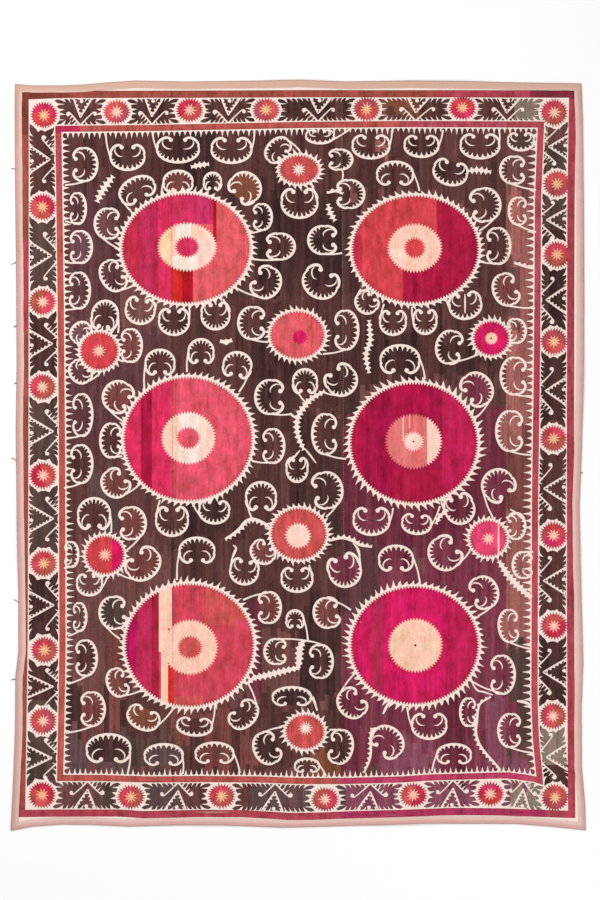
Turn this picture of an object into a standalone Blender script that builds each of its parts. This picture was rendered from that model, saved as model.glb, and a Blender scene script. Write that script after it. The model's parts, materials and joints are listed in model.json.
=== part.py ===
"""A suzani: four strips of cotton sewn side by side, embroidered all over, with a folded cotton binding.

It lies face up on the floor. X runs across the strips, Y along them, Z up, all in metres.
"""

import bisect
import math
from collections import namedtuple

import bmesh
import bpy
from mathutils import Matrix, Vector

MM = 0.001

# Driving sizes of the whole hanging, between straight lines laid along its uneven sides
WIDTH = 1.931
LENGTH = 2.530
MIDDLE_X = 0.004
MIDDLE_Y = 0.0027
CLOTH_THICK = 1.5 * MM
PIECE_GAP = 0.3 * MM

# The binding is a folded strip whose two leaves hold the edge of the cloth
BINDING_WIDE = 25.0 * MM
BINDING_THICK = 1.0 * MM
LEAF_CLEARANCE = 0.3 * MM
MITRE_BACK = BINDING_THICK / 2 + 0.4 * MM
FOLD_HIGH = 2 * BINDING_THICK + 2 * LEAF_CLEARANCE + CLOTH_THICK
FOLD_ROOM = 2.2 * MM
FOLD_STEPS = 4
CLOTH_RISE = BINDING_THICK + LEAF_CLEARANCE
RISE_STARTS = 45.0 * MM
RISE_ENDS = 27.0 * MM

# Spacing of the mesh, across and along the strips
COLUMN_SPACING = 55.0 * MM
ROW_SPACING = 62.0 * MM
LAST_ROW = 1.19

Bow = namedtuple("Bow", "share out_mm")
Seam = namedtuple("Seam", "bottom_x top_x")
Roll = namedtuple("Roll", "x y turn half_long half_wide high_mm")
Stub = namedtuple("Stub", "side y reach_mm drop_mm hook_mm thick_mm")
Tint = namedtuple("Tint", "red green blue roughness")

# How far each side stands out of its straight line, from the bottom or left corner on
LEFT_SIDE = (
    Bow(-0.01, 17), Bow(0.06, 8), Bow(0.13, 1), Bow(0.20, 0), Bow(0.235, -10), Bow(0.31, -10),
    Bow(0.40, -5), Bow(0.53, -1), Bow(0.62, -4), Bow(0.72, -3), Bow(0.85, 1), Bow(0.97, 3), Bow(1.01, 1),
)
RIGHT_SIDE = (
    Bow(-0.01, 9), Bow(0.03, 6), Bow(0.08, -5), Bow(0.16, -6), Bow(0.22, 0), Bow(0.28, -4), Bow(0.35, -10),
    Bow(0.43, -13), Bow(0.50, -6), Bow(0.58, 0), Bow(0.70, 3), Bow(0.85, 1), Bow(0.95, -2), Bow(1.01, -8),
)
TOP_SIDE = (
    Bow(-0.01, -3), Bow(0.03, -10), Bow(0.08, -10), Bow(0.12, -7), Bow(0.16, 0), Bow(0.21, 6), Bow(0.30, 3),
    Bow(0.42, 6), Bow(0.50, 9), Bow(0.58, 3), Bow(0.70, 7), Bow(0.80, 4), Bow(0.88, 0), Bow(1.01, -4),
)
BOTTOM_SIDE = (
    Bow(-0.01, 15), Bow(0.03, 0), Bow(0.08, -7), Bow(0.13, -6), Bow(0.20, 0), Bow(0.30, -5), Bow(0.36, -5),
    Bow(0.47, 4), Bow(0.55, 0), Bow(0.64, -5), Bow(0.72, -10), Bow(0.88, -9), Bow(0.94, 0), Bow(1.01, 14),
)

# The three sewn seams lean a little, because the strips were joined by eye
SEAMS = (Seam(-0.424, -0.431), Seam(0.160, 0.148), Seam(0.721, 0.710))

# Old storage folds: soft ridges across the cloth, in metres and degrees
CREASES = (
    Roll(0.12, 0.312, 0.5, 0.62, 0.016, 1.3),
    Roll(0.20, -0.008, 0.0, 0.70, 0.016, 1.6),
    Roll(0.34, -0.283, 1.2, 0.56, 0.016, 1.5),
    Roll(0.22, -0.565, -0.6, 0.66, 0.016, 1.5),
    Roll(0.16, -0.851, 0.0, 0.60, 0.016, 1.2),
)
# Places where the cloth doesn't lie quite flat
WAVES = (
    Roll(-0.52, 1.17, 88.0, 0.20, 0.16, 2.6),
    Roll(0.02, 1.20, 92.0, 0.22, 0.20, 3.2),
    Roll(0.55, 1.18, 86.0, 0.18, 0.15, 2.4),
    Roll(-0.90, 0.52, 3.0, 0.18, 0.17, 2.6),
    Roll(-0.92, -0.30, -4.0, 0.17, 0.20, 3.0),
    Roll(0.91, 0.30, 2.0, 0.16, 0.18, 2.4),
    Roll(0.90, -0.36, -3.0, 0.17, 0.17, 2.8),
    Roll(-0.30, -1.20, 91.0, 0.19, 0.17, 2.6),
    Roll(0.36, -1.19, 87.0, 0.20, 0.18, 3.0),
    Roll(-0.28, 0.38, 62.0, 0.34, 0.10, 1.6),
    Roll(0.46, 0.62, -56.0, 0.30, 0.11, 1.5),
    Roll(-0.12, -0.62, 48.0, 0.28, 0.10, 1.4),
)
# The left binding is pieced here, with its upper length butted on its lower one
LEFT_JOIN_Y = -0.7055

# Ends of thread left where old hanging loops were cut away
STUBS = (
    Stub(-1, 0.971, 13, 2, 4, 1.6),
    Stub(-1, 0.657, 16, -7, -2, 1.5),
    Stub(-1, 0.438, 9, -4, 3, 1.8),
    Stub(-1, 0.246, 7, -5, 2, 1.6),
    Stub(-1, -0.019, 16, 7, 5, 2.6),
    Stub(-1, -0.500, 16, 9, 2, 1.6),
    Stub(-1, -0.762, 14, -3, 2, 1.6),
    Stub(1, -0.062, 7, 3, 2, 1.5),
)
STUB_TAPER = 0.35
STUB_SIDES = 6
STUB_STEPS = 6

TINTS = {
    "panel": Tint(0.115, 0.045, 0.042, 0.85),
    "binding": Tint(0.63, 0.36, 0.33, 0.90),
    "stub": Tint(0.17, 0.16, 0.15, 0.95),
}


def clear_scene():
    for old in list(bpy.data.objects):
        bpy.data.objects.remove(old)


def bow_at(side, share):
    """How far the side stands out here, in metres, going straight from each row of its table to the next."""
    share = min(max(share, side[0].share), side[-1].share)
    after = min(bisect.bisect_right([row.share for row in side], share), len(side) - 1)
    low, high = side[after - 1], side[after]
    part = (share - low.share) / (high.share - low.share)
    return (low.out_mm + (high.out_mm - low.out_mm) * part) * MM


def left_edge(y):
    return MIDDLE_X - WIDTH / 2 - bow_at(LEFT_SIDE, (y - MIDDLE_Y) / LENGTH + 0.5)


def right_edge(y):
    return MIDDLE_X + WIDTH / 2 + bow_at(RIGHT_SIDE, (y - MIDDLE_Y) / LENGTH + 0.5)


def top_edge(x):
    return MIDDLE_Y + LENGTH / 2 + bow_at(TOP_SIDE, (x - MIDDLE_X) / WIDTH + 0.5)


def bottom_edge(x):
    return MIDDLE_Y - LENGTH / 2 - bow_at(BOTTOM_SIDE, (x - MIDDLE_X) / WIDTH + 0.5)


def seam_x(seam, y):
    up = (y - MIDDLE_Y) / LENGTH + 0.5
    return seam.bottom_x + (seam.top_x - seam.bottom_x) * up


def hump(t):
    """A soft rise from 0 at -1 and 1 to 1 in the middle, and nothing beyond them."""
    return (1 - t * t) ** 2 if abs(t) < 1 else 0.0


def lift(x, y):
    """How high the underside of the hanging stands off the floor here."""
    x = min(max(x, left_edge(y) + RISE_ENDS), right_edge(y) - RISE_ENDS)
    y = min(max(y, bottom_edge(x) + RISE_ENDS), top_edge(x) - RISE_ENDS)
    high = 0.0
    for roll in CREASES + WAVES:
        turn = math.radians(roll.turn)
        over, up = x - roll.x, y - roll.y
        along = over * math.cos(turn) + up * math.sin(turn)
        across = up * math.cos(turn) - over * math.sin(turn)
        high += roll.high_mm * MM * hump(along / roll.half_long) * hump(across / roll.half_wide)
    return high


def rise(x, y):
    """How far the cloth climbs to enter the fold of the binding."""
    inside = min(x - left_edge(y), right_edge(y) - x, top_edge(x) - y, y - bottom_edge(x))
    part = (RISE_STARTS - inside) / (RISE_STARTS - RISE_ENDS)
    return CLOTH_RISE * min(max(part, 0.0), 1.0)


def evenly(start, end, spacing):
    steps = max(1, round(abs(end - start) / spacing))
    return [start + (end - start) * i / steps for i in range(steps + 1)]


def row_heights():
    """The straight rows of the mesh: an even set, with three rows on each crease in place of those near it."""
    on_creases = [c.y + k * c.half_wide for c in CREASES for k in (-1, 0, 1)]
    apart = ROW_SPACING / 3
    even = [y for y in evenly(-LAST_ROW, LAST_ROW, ROW_SPACING) if all(abs(y - c) > apart for c in on_creases)]
    return sorted(even + on_creases)


ROWS = row_heights()


def material(name):
    tint = TINTS[name]
    made = bpy.data.materials.new(name)
    made.use_nodes = True
    shader = made.node_tree.nodes["Principled BSDF"]
    shader.inputs["Base Color"].default_value = (tint.red, tint.green, tint.blue, 1.0)
    shader.inputs["Roughness"].default_value = tint.roughness
    shader.inputs["Metallic"].default_value = 0.0
    return made


def grid_object(name, columns, rows, place, thick, offset, finish, collection):
    """A grid primitive whose points are moved to their places, given its thickness with Solidify."""
    mesh = bpy.data.meshes.new(name)
    bm = bmesh.new()
    bmesh.ops.create_grid(bm, x_segments=columns, y_segments=rows, size=0.5)
    for vertex in bm.verts:
        column = round((vertex.co.x + 0.5) * columns)
        row = round((vertex.co.y + 0.5) * rows)
        vertex.co = place(column, row)
    bm.to_mesh(mesh)
    bm.free()
    made = bpy.data.objects.new(name, mesh)
    mesh.materials.append(finish)
    mesh.shade_smooth()
    mesh.set_sharp_from_angle(angle=math.radians(40))
    solid = made.modifiers.new("thickness", "SOLIDIFY")
    solid.thickness = thick
    solid.offset = offset
    solid.use_even_offset = True
    collection.objects.link(made)
    return made


def panel_columns(number):
    """(from, share) for each column of mesh on a panel: a distance in from an outer edge, or a share of the width."""
    outer_left, outer_right = number == 0, number == len(SEAMS)
    near_edge = [("left", FOLD_ROOM), ("left", RISE_ENDS), ("left", RISE_STARTS)]
    far_edge = [("right", RISE_STARTS), ("right", RISE_ENDS), ("right", FOLD_ROOM)]
    left, right = panel_sides(number, 0.0)
    count = max(3, round((right - left) / COLUMN_SPACING))
    shares = [("share", i / count) for i in range(count + 1)]
    if outer_left:
        shares = near_edge + shares[2:]
    if outer_right:
        shares = shares[:-2] + far_edge
    return shares


def panel_sides(number, y):
    left = left_edge(y) if number == 0 else seam_x(SEAMS[number - 1], y) + PIECE_GAP / 2
    right = right_edge(y) if number == len(SEAMS) else seam_x(SEAMS[number], y) - PIECE_GAP / 2
    return left, right


def column_x(number, column, y):
    left, right = panel_sides(number, y)
    kind, value = column
    if kind == "left":
        return left + value
    if kind == "right":
        return right - value
    return left + (right - left) * value


def row_y(x, row):
    """The place of a row of mesh at x. The three rows at each end follow the uneven edge."""
    ends = (FOLD_ROOM, RISE_ENDS, RISE_STARTS)
    if row < len(ends):
        return bottom_edge(x) + ends[row]
    row -= len(ends)
    if row < len(ROWS):
        return ROWS[row]
    return top_edge(x) - ends[len(ROWS) + len(ends) - 1 - row]


def add_panel(number, finish, collection):
    columns = panel_columns(number)
    rows = len(ROWS) + 6

    def place(column, row):
        near = column_x(number, columns[column], 0.0)
        y = row_y(near, row)
        x = column_x(number, columns[column], y)
        y = row_y(x, row)
        return x, y, lift(x, y) + rise(x, y)

    name = f"cloth_panel_{number + 1}"
    return grid_object(name, len(columns) - 1, rows - 1, place, CLOTH_THICK, 1.0, finish, collection)


def fold_profile():
    """(inset, height) of points round the folded strip, from the inner edge of its lower leaf to that of its upper."""
    low, high = BINDING_THICK / 2, FOLD_HIGH - BINDING_THICK / 2
    radius = (high - low) / 2
    centre_in, centre_high = low + radius, (low + high) / 2
    points = [(BINDING_WIDE, low), (BINDING_WIDE / 2, low)]
    for step in range(FOLD_STEPS + 1):
        turn = math.pi * step / FOLD_STEPS
        points.append((centre_in - radius * math.sin(turn), centre_high - radius * math.cos(turn)))
    return points + [(BINDING_WIDE / 2, high), (BINDING_WIDE, high)]


def side_binding(name, side, first_y, last_y, finish, collection):
    """A length of binding down the left (side -1) or right (side 1) edge. None as an end means a mitred corner."""
    profile = fold_profile()
    corner_x = (left_edge if side < 0 else right_edge)(0.0)
    every = [bottom_edge(corner_x) + RISE_STARTS] + ROWS + [top_edge(corner_x) - RISE_STARTS]
    low = -LENGTH if first_y is None else first_y + RISE_ENDS
    high = LENGTH if last_y is None else last_y - RISE_ENDS
    stations = [first_y] + [y for y in every if low < y < high] + [last_y]

    def place(column, row):
        inset, high = profile[column]
        y = stations[row]
        if y is None:
            corner_x = (left_edge if side < 0 else right_edge)(math.copysign(LENGTH / 2, row - 0.5))
            x = corner_x - side * inset
            y = bottom_edge(x) + inset + MITRE_BACK if row == 0 else top_edge(x) - inset - MITRE_BACK
        x = (left_edge if side < 0 else right_edge)(y) - side * inset
        return x, y, lift(x, y) + high

    finished = grid_object(
        name, len(profile) - 1, len(stations) - 1, place, BINDING_THICK, 0.0, finish, collection
    )
    return finished


def across_binding(name, side, finish, collection):
    """The length of binding along the bottom (side -1) or top (side 1) edge, mitred at both corners."""
    profile = fold_profile()
    edge = bottom_edge if side < 0 else top_edge
    ends = math.copysign(LENGTH / 2, side)
    columns = [(n, c) for n in range(len(SEAMS) + 1) for c in panel_columns(n)]
    inner = [column_x(n, c, ends) for n, c in columns if c[0] == "share" or c[1] == RISE_STARTS]
    apart = [x for before, x in zip([-WIDTH] + inner, inner) if x - before > PIECE_GAP * 2]
    stations = [None] + apart + [None]

    def place(column, row):
        inset, high = profile[column]
        x = stations[row]
        if x is None:
            y = edge(math.copysign(WIDTH / 2, row - 0.5)) - side * inset
            x = left_edge(y) + inset + MITRE_BACK if row == 0 else right_edge(y) - inset - MITRE_BACK
        y = edge(x) - side * inset
        return x, y, lift(x, y) + high

    return grid_object(
        name, len(profile) - 1, len(stations) - 1, place, BINDING_THICK, 0.0, finish, collection
    )


def face_outwards(made):
    """Turns a strip's mesh round where its profile was laid out clockwise, so that Solidify builds it the right way."""
    bm = bmesh.new()
    bm.from_mesh(made.data)
    bmesh.ops.recalc_face_normals(bm, faces=bm.faces)
    bm.to_mesh(made.data)
    bm.free()


def add_stub(number, stub, finish, collection):
    """A short end of thread that leaves the fold of the binding and droops to the floor, one extruded ring at a time."""
    edge = (left_edge if stub.side < 0 else right_edge)(stub.y)
    radius = stub.thick_mm * MM / 2
    root = edge + stub.side * (PIECE_GAP + radius * 0.3)
    start_high = lift(edge, stub.y) + FOLD_HIGH / 2

    def centre(step):
        part = step / STUB_STEPS
        bend = stub.drop_mm * part + stub.hook_mm * math.sin(math.pi * part)
        high = radius + (start_high - radius) * (1 - part) ** 2
        return Vector((root + stub.side * stub.reach_mm * MM * part, stub.y + bend * MM, high))

    bm = bmesh.new()
    upright = Matrix.Translation(centre(0)) @ Matrix.Rotation(math.pi / 2, 4, "Y")
    ring = bmesh.ops.create_circle(bm, cap_ends=True, segments=STUB_SIDES, radius=radius, matrix=upright)["verts"]
    end = list({face for vertex in ring for face in vertex.link_faces})
    for step in range(1, STUB_STEPS + 1):
        pulled = bmesh.ops.extrude_face_region(bm, geom=end)["geom"]
        if step > 1:
            bmesh.ops.delete(bm, geom=end, context="FACES_ONLY")
        ring = [part for part in pulled if isinstance(part, bmesh.types.BMVert)]
        end = [part for part in pulled if isinstance(part, bmesh.types.BMFace)]
        thinner = (1 - STUB_TAPER * step / STUB_STEPS) / (1 - STUB_TAPER * (step - 1) / STUB_STEPS)
        for vertex in ring:
            vertex.co = centre(step) + (vertex.co - centre(step - 1)) * thinner
    bmesh.ops.recalc_face_normals(bm, faces=bm.faces)
    mesh = bpy.data.meshes.new(f"thread_end_{number}")
    bm.to_mesh(mesh)
    bm.free()
    mesh.materials.append(finish)
    mesh.shade_smooth()
    mesh.set_sharp_from_angle(angle=math.radians(50))
    made = bpy.data.objects.new(mesh.name, mesh)
    collection.objects.link(made)
    return made


def main():
    clear_scene()
    collection = bpy.data.collections.new("suzani")
    bpy.context.scene.collection.children.link(collection)
    panel, binding, stub_finish = material("panel"), material("binding"), material("stub")

    for number in range(len(SEAMS) + 1):
        add_panel(number, panel, collection)

    strips = (
        side_binding("binding_left_upper", -1, LEFT_JOIN_Y + PIECE_GAP / 2, None, binding, collection),
        side_binding("binding_left_lower", -1, None, LEFT_JOIN_Y - PIECE_GAP / 2, binding, collection),
        side_binding("binding_right", 1, None, None, binding, collection),
        across_binding("binding_top", 1, binding, collection),
        across_binding("binding_bottom", -1, binding, collection),
    )
    for strip in strips:
        face_outwards(strip)

    for number, stub in enumerate(STUBS, 1):
        add_stub(number, stub, stub_finish, collection)


main()
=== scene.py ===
# %% [markdown]
# # A suzani: silk embroidery on four strips of cotton
#
# The real hanging is cotton cloth in four narrow strips. Each strip is drawn on and embroidered almost
# all over, then the strips are sewn side by side and a folded cotton binding is sewn round the edge.
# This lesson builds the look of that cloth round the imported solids, which fix its size and its place.

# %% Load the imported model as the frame
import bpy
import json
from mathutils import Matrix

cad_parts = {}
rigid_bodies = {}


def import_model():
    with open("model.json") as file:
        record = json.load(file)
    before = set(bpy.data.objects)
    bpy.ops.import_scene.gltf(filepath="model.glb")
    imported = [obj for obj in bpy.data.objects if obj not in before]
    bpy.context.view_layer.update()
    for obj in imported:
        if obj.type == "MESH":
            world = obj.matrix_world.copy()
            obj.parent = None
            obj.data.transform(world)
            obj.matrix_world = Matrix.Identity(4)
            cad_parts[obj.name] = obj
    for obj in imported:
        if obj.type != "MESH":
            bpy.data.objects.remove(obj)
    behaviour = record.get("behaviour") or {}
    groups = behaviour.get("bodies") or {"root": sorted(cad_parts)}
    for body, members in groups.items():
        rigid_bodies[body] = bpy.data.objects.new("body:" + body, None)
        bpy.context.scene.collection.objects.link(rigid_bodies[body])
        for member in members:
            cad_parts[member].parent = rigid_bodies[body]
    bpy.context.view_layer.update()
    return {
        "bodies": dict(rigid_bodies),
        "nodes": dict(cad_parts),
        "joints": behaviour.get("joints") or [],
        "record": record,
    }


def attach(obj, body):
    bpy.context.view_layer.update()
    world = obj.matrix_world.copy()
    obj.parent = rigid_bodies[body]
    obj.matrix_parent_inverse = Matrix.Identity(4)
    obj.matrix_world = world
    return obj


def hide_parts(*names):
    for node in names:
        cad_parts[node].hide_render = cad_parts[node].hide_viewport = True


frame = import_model()

# %% Modules and units
import json
import math
import random
from collections import namedtuple

import bmesh
import bpy
import numpy as np
from mathutils import Vector
from mathutils.geometry import delaunay_2d_cdt
from mathutils.kdtree import KDTree

MM = 0.001
chance = random.Random(20)


def in_scene(name, data):
    """A new object with this data, linked to the scene."""
    made = bpy.data.objects.new(name, data)
    bpy.context.scene.collection.objects.link(made)
    return made


def soften(mesh, sharp_degrees):
    """Smooth shading, apart from the edges that turn by more than this."""
    mesh.shade_smooth()
    mesh.set_sharp_from_angle(angle=math.radians(sharp_degrees))

# %% [markdown]
# ## The lie of the cloth
#
# Old cloth is never straight. Its sides bow in and out by a centimetre, the seams lean, storage folds
# leave low ridges, and it lies a little off the floor in places. A cloth simulation could find such a shape,
# but not the one that the solids have. So their short tables are repeated here, and every piece below asks
# the same functions where it lies.

# %% Outline, seams and folds
WIDTH, LENGTH = 1.931, 2.530
MIDDLE_X, MIDDLE_Y = 0.004, 0.0027
CLOTH_THICK = 1.5 * MM
PIECE_GAP = 0.3 * MM
BINDING_WIDE = 25.0 * MM
BINDING_THICK = 1.0 * MM
LEAF_CLEARANCE = 0.3 * MM
FOLD_HIGH = 2 * BINDING_THICK + 2 * LEAF_CLEARANCE + CLOTH_THICK
FOLD_ROOM = 2.2 * MM
CLOTH_RISE = BINDING_THICK + LEAF_CLEARANCE
RISE_STARTS, RISE_ENDS = 45.0 * MM, 27.0 * MM

Bow = namedtuple("Bow", "share out_mm")
Seam = namedtuple("Seam", "bottom_x top_x")
Roll = namedtuple("Roll", "x y turn half_long half_wide high_mm")
LEFT_SIDE = (
    Bow(-0.01, 17), Bow(0.06, 8), Bow(0.13, 1), Bow(0.20, 0), Bow(0.235, -10), Bow(0.31, -10),
    Bow(0.40, -5), Bow(0.53, -1), Bow(0.62, -4), Bow(0.72, -3), Bow(0.85, 1), Bow(0.97, 3), Bow(1.01, 1),
)
RIGHT_SIDE = (
    Bow(-0.01, 9), Bow(0.03, 6), Bow(0.08, -5), Bow(0.16, -6), Bow(0.22, 0), Bow(0.28, -4), Bow(0.35, -10),
    Bow(0.43, -13), Bow(0.50, -6), Bow(0.58, 0), Bow(0.70, 3), Bow(0.85, 1), Bow(0.95, -2), Bow(1.01, -8),
)
TOP_SIDE = (
    Bow(-0.01, -3), Bow(0.03, -10), Bow(0.08, -10), Bow(0.12, -7), Bow(0.16, 0), Bow(0.21, 6), Bow(0.30, 3),
    Bow(0.42, 6), Bow(0.50, 9), Bow(0.58, 3), Bow(0.70, 7), Bow(0.80, 4), Bow(0.88, 0), Bow(1.01, -4),
)
BOTTOM_SIDE = (
    Bow(-0.01, 15), Bow(0.03, 0), Bow(0.08, -7), Bow(0.13, -6), Bow(0.20, 0), Bow(0.30, -5), Bow(0.36, -5),
    Bow(0.47, 4), Bow(0.55, 0), Bow(0.64, -5), Bow(0.72, -10), Bow(0.88, -9), Bow(0.94, 0), Bow(1.01, 14),
)
SEAMS = (Seam(-0.424, -0.431), Seam(0.160, 0.148), Seam(0.721, 0.710))
CREASES = (
    Roll(0.12, 0.312, 0.5, 0.62, 0.016, 1.3),
    Roll(0.20, -0.008, 0.0, 0.70, 0.016, 1.6),
    Roll(0.34, -0.283, 1.2, 0.56, 0.016, 1.5),
    Roll(0.22, -0.565, -0.6, 0.66, 0.016, 1.5),
    Roll(0.16, -0.851, 0.0, 0.60, 0.016, 1.2),
)
WAVES = (
    Roll(-0.52, 1.17, 88.0, 0.20, 0.16, 2.6), Roll(0.02, 1.20, 92.0, 0.22, 0.20, 3.2),
    Roll(0.55, 1.18, 86.0, 0.18, 0.15, 2.4), Roll(-0.90, 0.52, 3.0, 0.18, 0.17, 2.6),
    Roll(-0.92, -0.30, -4.0, 0.17, 0.20, 3.0), Roll(0.91, 0.30, 2.0, 0.16, 0.18, 2.4),
    Roll(0.90, -0.36, -3.0, 0.17, 0.17, 2.8), Roll(-0.30, -1.20, 91.0, 0.19, 0.17, 2.6),
    Roll(0.36, -1.19, 87.0, 0.20, 0.18, 3.0), Roll(-0.28, 0.38, 62.0, 0.34, 0.10, 1.6),
    Roll(0.46, 0.62, -56.0, 0.30, 0.11, 1.5), Roll(-0.12, -0.62, 48.0, 0.28, 0.10, 1.4),
)
LEFT_JOIN_Y = -0.7055


def bow(side, share):
    return np.interp(share, [row.share for row in side], [row.out_mm * MM for row in side])


def left_edge(y):
    return MIDDLE_X - WIDTH / 2 - bow(LEFT_SIDE, (y - MIDDLE_Y) / LENGTH + 0.5)


def right_edge(y):
    return MIDDLE_X + WIDTH / 2 + bow(RIGHT_SIDE, (y - MIDDLE_Y) / LENGTH + 0.5)


def top_edge(x):
    return MIDDLE_Y + LENGTH / 2 + bow(TOP_SIDE, (x - MIDDLE_X) / WIDTH + 0.5)


def bottom_edge(x):
    return MIDDLE_Y - LENGTH / 2 - bow(BOTTOM_SIDE, (x - MIDDLE_X) / WIDTH + 0.5)


def seam_x(seam, y):
    return seam.bottom_x + (seam.top_x - seam.bottom_x) * ((y - MIDDLE_Y) / LENGTH + 0.5)


def hump(t):
    """A soft rise from 0 at -1 and 1 to 1 in the middle, and nothing beyond them."""
    return np.where(np.abs(t) < 1, (1 - t * t) ** 2, 0.0)


def lift(x, y):
    """How high the underside of the hanging stands off the floor at these places."""
    x = np.clip(x, left_edge(y) + RISE_ENDS, right_edge(y) - RISE_ENDS)
    y = np.clip(y, bottom_edge(x) + RISE_ENDS, top_edge(x) - RISE_ENDS)
    high = 0.0 * x
    for roll in CREASES + WAVES:
        turn = math.radians(roll.turn)
        along = (x - roll.x) * math.cos(turn) + (y - roll.y) * math.sin(turn)
        across = (y - roll.y) * math.cos(turn) - (x - roll.x) * math.sin(turn)
        high = high + roll.high_mm * MM * hump(along / roll.half_long) * hump(across / roll.half_wide)
    return high


def rise(x, y):
    """How far the cloth climbs to enter the fold of the binding."""
    inside = np.minimum.reduce([x - left_edge(y), right_edge(y) - x, top_edge(x) - y, y - bottom_edge(x)])
    return CLOTH_RISE * np.clip((RISE_STARTS - inside) / (RISE_STARTS - RISE_ENDS), 0.0, 1.0)


print("the cloth is", WIDTH, "by", LENGTH, "m, in", len(SEAMS) + 1, "strips")

# %% [markdown]
# ## The drawing
#
# Before such a piece was stitched, its pattern was drawn on the cloth in ink. The drawing
# below does the same: it is a list of shapes, and each one is laid over those before it, as paint would be.
# Cream lines aren't thread at all. They are the cotton itself, left bare between the areas of silk, so a
# scroll is a shape of bare cotton on dark silk. A painted picture could hold the pattern too, but shapes stay
# sharp from near by, can be changed one at a time, and give the silk a real edge. One step of the drawing is
# 3.4 mm of cloth. Its places are counted from the top left, x to the right and y down, and only `to_cloth`
# turns them into metres.

# %% The drawing's step and its lists
STEP = 3.4 * MM
PAGE_WIDE, PAGE_HIGH = 600, 900
CENTRE_ACROSS, CENTRE_DOWN = 298.2, 455.3
COTTON, DARK, RED, LIGHT = range(4)

Shape = namedtuple("Shape", "ring silk lot over")
drawing = []


def to_cloth(points):
    points = np.asarray(points, float)
    return np.stack([(points[:, 0] - CENTRE_ACROSS) * STEP, (CENTRE_DOWN - points[:, 1]) * STEP], axis=1)


def to_drawing(points):
    return np.stack([points[:, 0] / STEP + CENTRE_ACROSS, CENTRE_DOWN - points[:, 1] / STEP], axis=1)


def lay(ring, silk, lot=None):
    """An area of silk in one lot of thread, or of bare cotton, over what is there."""
    drawing.append(Shape(np.asarray(ring, float), silk, lot, None))


def tint(ring, over, lot, silk=None):
    """Another lot of thread over one kind of silk, within its outline. `silk` changes the kind as well."""
    drawing.append(Shape(np.asarray(ring, float), silk, lot, over))


def number_or_word(word):
    return float(word) if word.replace("-", "", 1).replace(".", "", 1).isdigit() else word


def rows_of(kind, text):
    """The rows of a table that is written as words and numbers under named columns."""
    names, *lines = [line.split() for line in text.strip().splitlines()]
    row_type = namedtuple(kind, names)
    return [row_type(*map(number_or_word, line)) for line in lines]

# %% [markdown]
# ### Lots of thread
#
# The silk was dyed at home in small lots, so one black runs to brown, plum, mauve or olive after a
# hundred years, and one red to coral or magenta. Noise alone could vary the colours, but a real lot ends
# along a strand. So each lot has a name and one colour here, and the finish of the silk varies it further.

# %% The lots of thread
def linear(code):
    """A colour written as six hexadecimal digits, as the light that a shader works in."""
    parts = [int(code[i:i + 2], 16) / 255 for i in (0, 2, 4)]
    return [p / 12.92 if p < 0.04045 else ((p + 0.055) / 1.055) ** 2.4 for p in parts]


def colour(code):
    return linear(code) + [1.0]


LOTS = {
    "bark": "6b4441", "mauve": "6a4650", "walnut": "75403b", "ink": "3a2424", "umber": "4e2f2c",
    "plum": "762f44", "grape": "84455b", "brick": "a0605a", "moss": "4c3b36", "stone": "8c7a6c",
    "rust": "7a4632", "slate": "564243", "wine": "682539", "cocoa": "593633", "fig": "573439",
    "russet": "98493d", "garnet": "a83e4c", "damson": "a83058", "oxblood": "7a2a36", "chestnut": "78382c",
    "cedar": "b4524a", "berry": "b93c60", "brickred": "b04854", "bramble": "b82650", "orchid": "c82e60",
    "fuchsia": "de426c", "mulberry": "b80a5a", "crimson": "a00a40", "magenta": "cd1459", "rose": "dc5265",
    "coral": "cd4047", "cherry": "a8103c", "raspberry": "c32a48", "blood": "a80c1e", "faded": "c9504f",
    "salmon": "dc5a60", "pink": "cf2f5a", "rosy": "cc4355", "ruby": "a51a38", "carmine": "d52b57",
    "scarlet": "cf2318", "madder": "b00c44", "wineberry": "bd1a50",
    "peach": "f8c3ad", "shell": "fbcfc0", "pale": "f3ddd0", "sand": "efb482", "sandy": "efc79c",
    "apricot": "f8c4a9",
}
LOT_NAMES = list(LOTS)
print(len(LOTS), "lots of thread")

# %% [markdown]
# ### Teeth and strokes
#
# Nearly every edge has teeth: small round lobes of silk with sharp cusps of cotton between them. They could
# be drawn one by one, but there are thousands. So one function gives the height of the edge along a tooth,
# and rings, bands and frames all use it. A stroke is a line with a width that may change along it, which
# the scrolls, stems and tendrils are made of.

# %% Teeth and soft lines
TOOTH_POINTS = 5


def cusp(share, sharp=1.6):
    """Height of a toothed edge: 0 along the round lobe, and 1 at the cusp between two lobes."""
    return abs(2 * (share % 1.0) - 1) ** sharp


def smooth(points, steps):
    """A soft line through the points, by Catmull and Rom's rule."""
    p = np.asarray(points, float)
    if len(p) < 3:
        return np.linspace(p[0], p[-1], steps * (len(p) - 1) + 1)
    p = np.vstack([2 * p[0] - p[1], p, 2 * p[-1] - p[-2]])
    line = []
    for a, b, c, d in zip(p, p[1:], p[2:], p[3:]):
        for t in np.arange(steps) / steps:
            line.append(0.5 * (2 * b + (c - a) * t + (2 * a - 5 * b + 4 * c - d) * t ** 2
                               + (3 * b - a - 3 * c + d) * t ** 3))
    return np.vstack([line, p[-2]])


def normals(line):
    """Unit vectors at right angles to an open line, on its left as the page is seen."""
    along = np.gradient(line, axis=0)
    along /= np.linalg.norm(along, axis=1)[:, None] + 1e-9
    return np.stack([along[:, 1], -along[:, 0]], axis=1)


def lengths(line):
    return np.concatenate([[0], np.cumsum(np.linalg.norm(np.diff(line, axis=0), axis=1))])


def resample(line, count):
    far = lengths(line)
    even = np.linspace(0, far[-1], count)
    return np.stack([np.interp(even, far, line[:, 0]), np.interp(even, far, line[:, 1])], axis=1)

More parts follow.
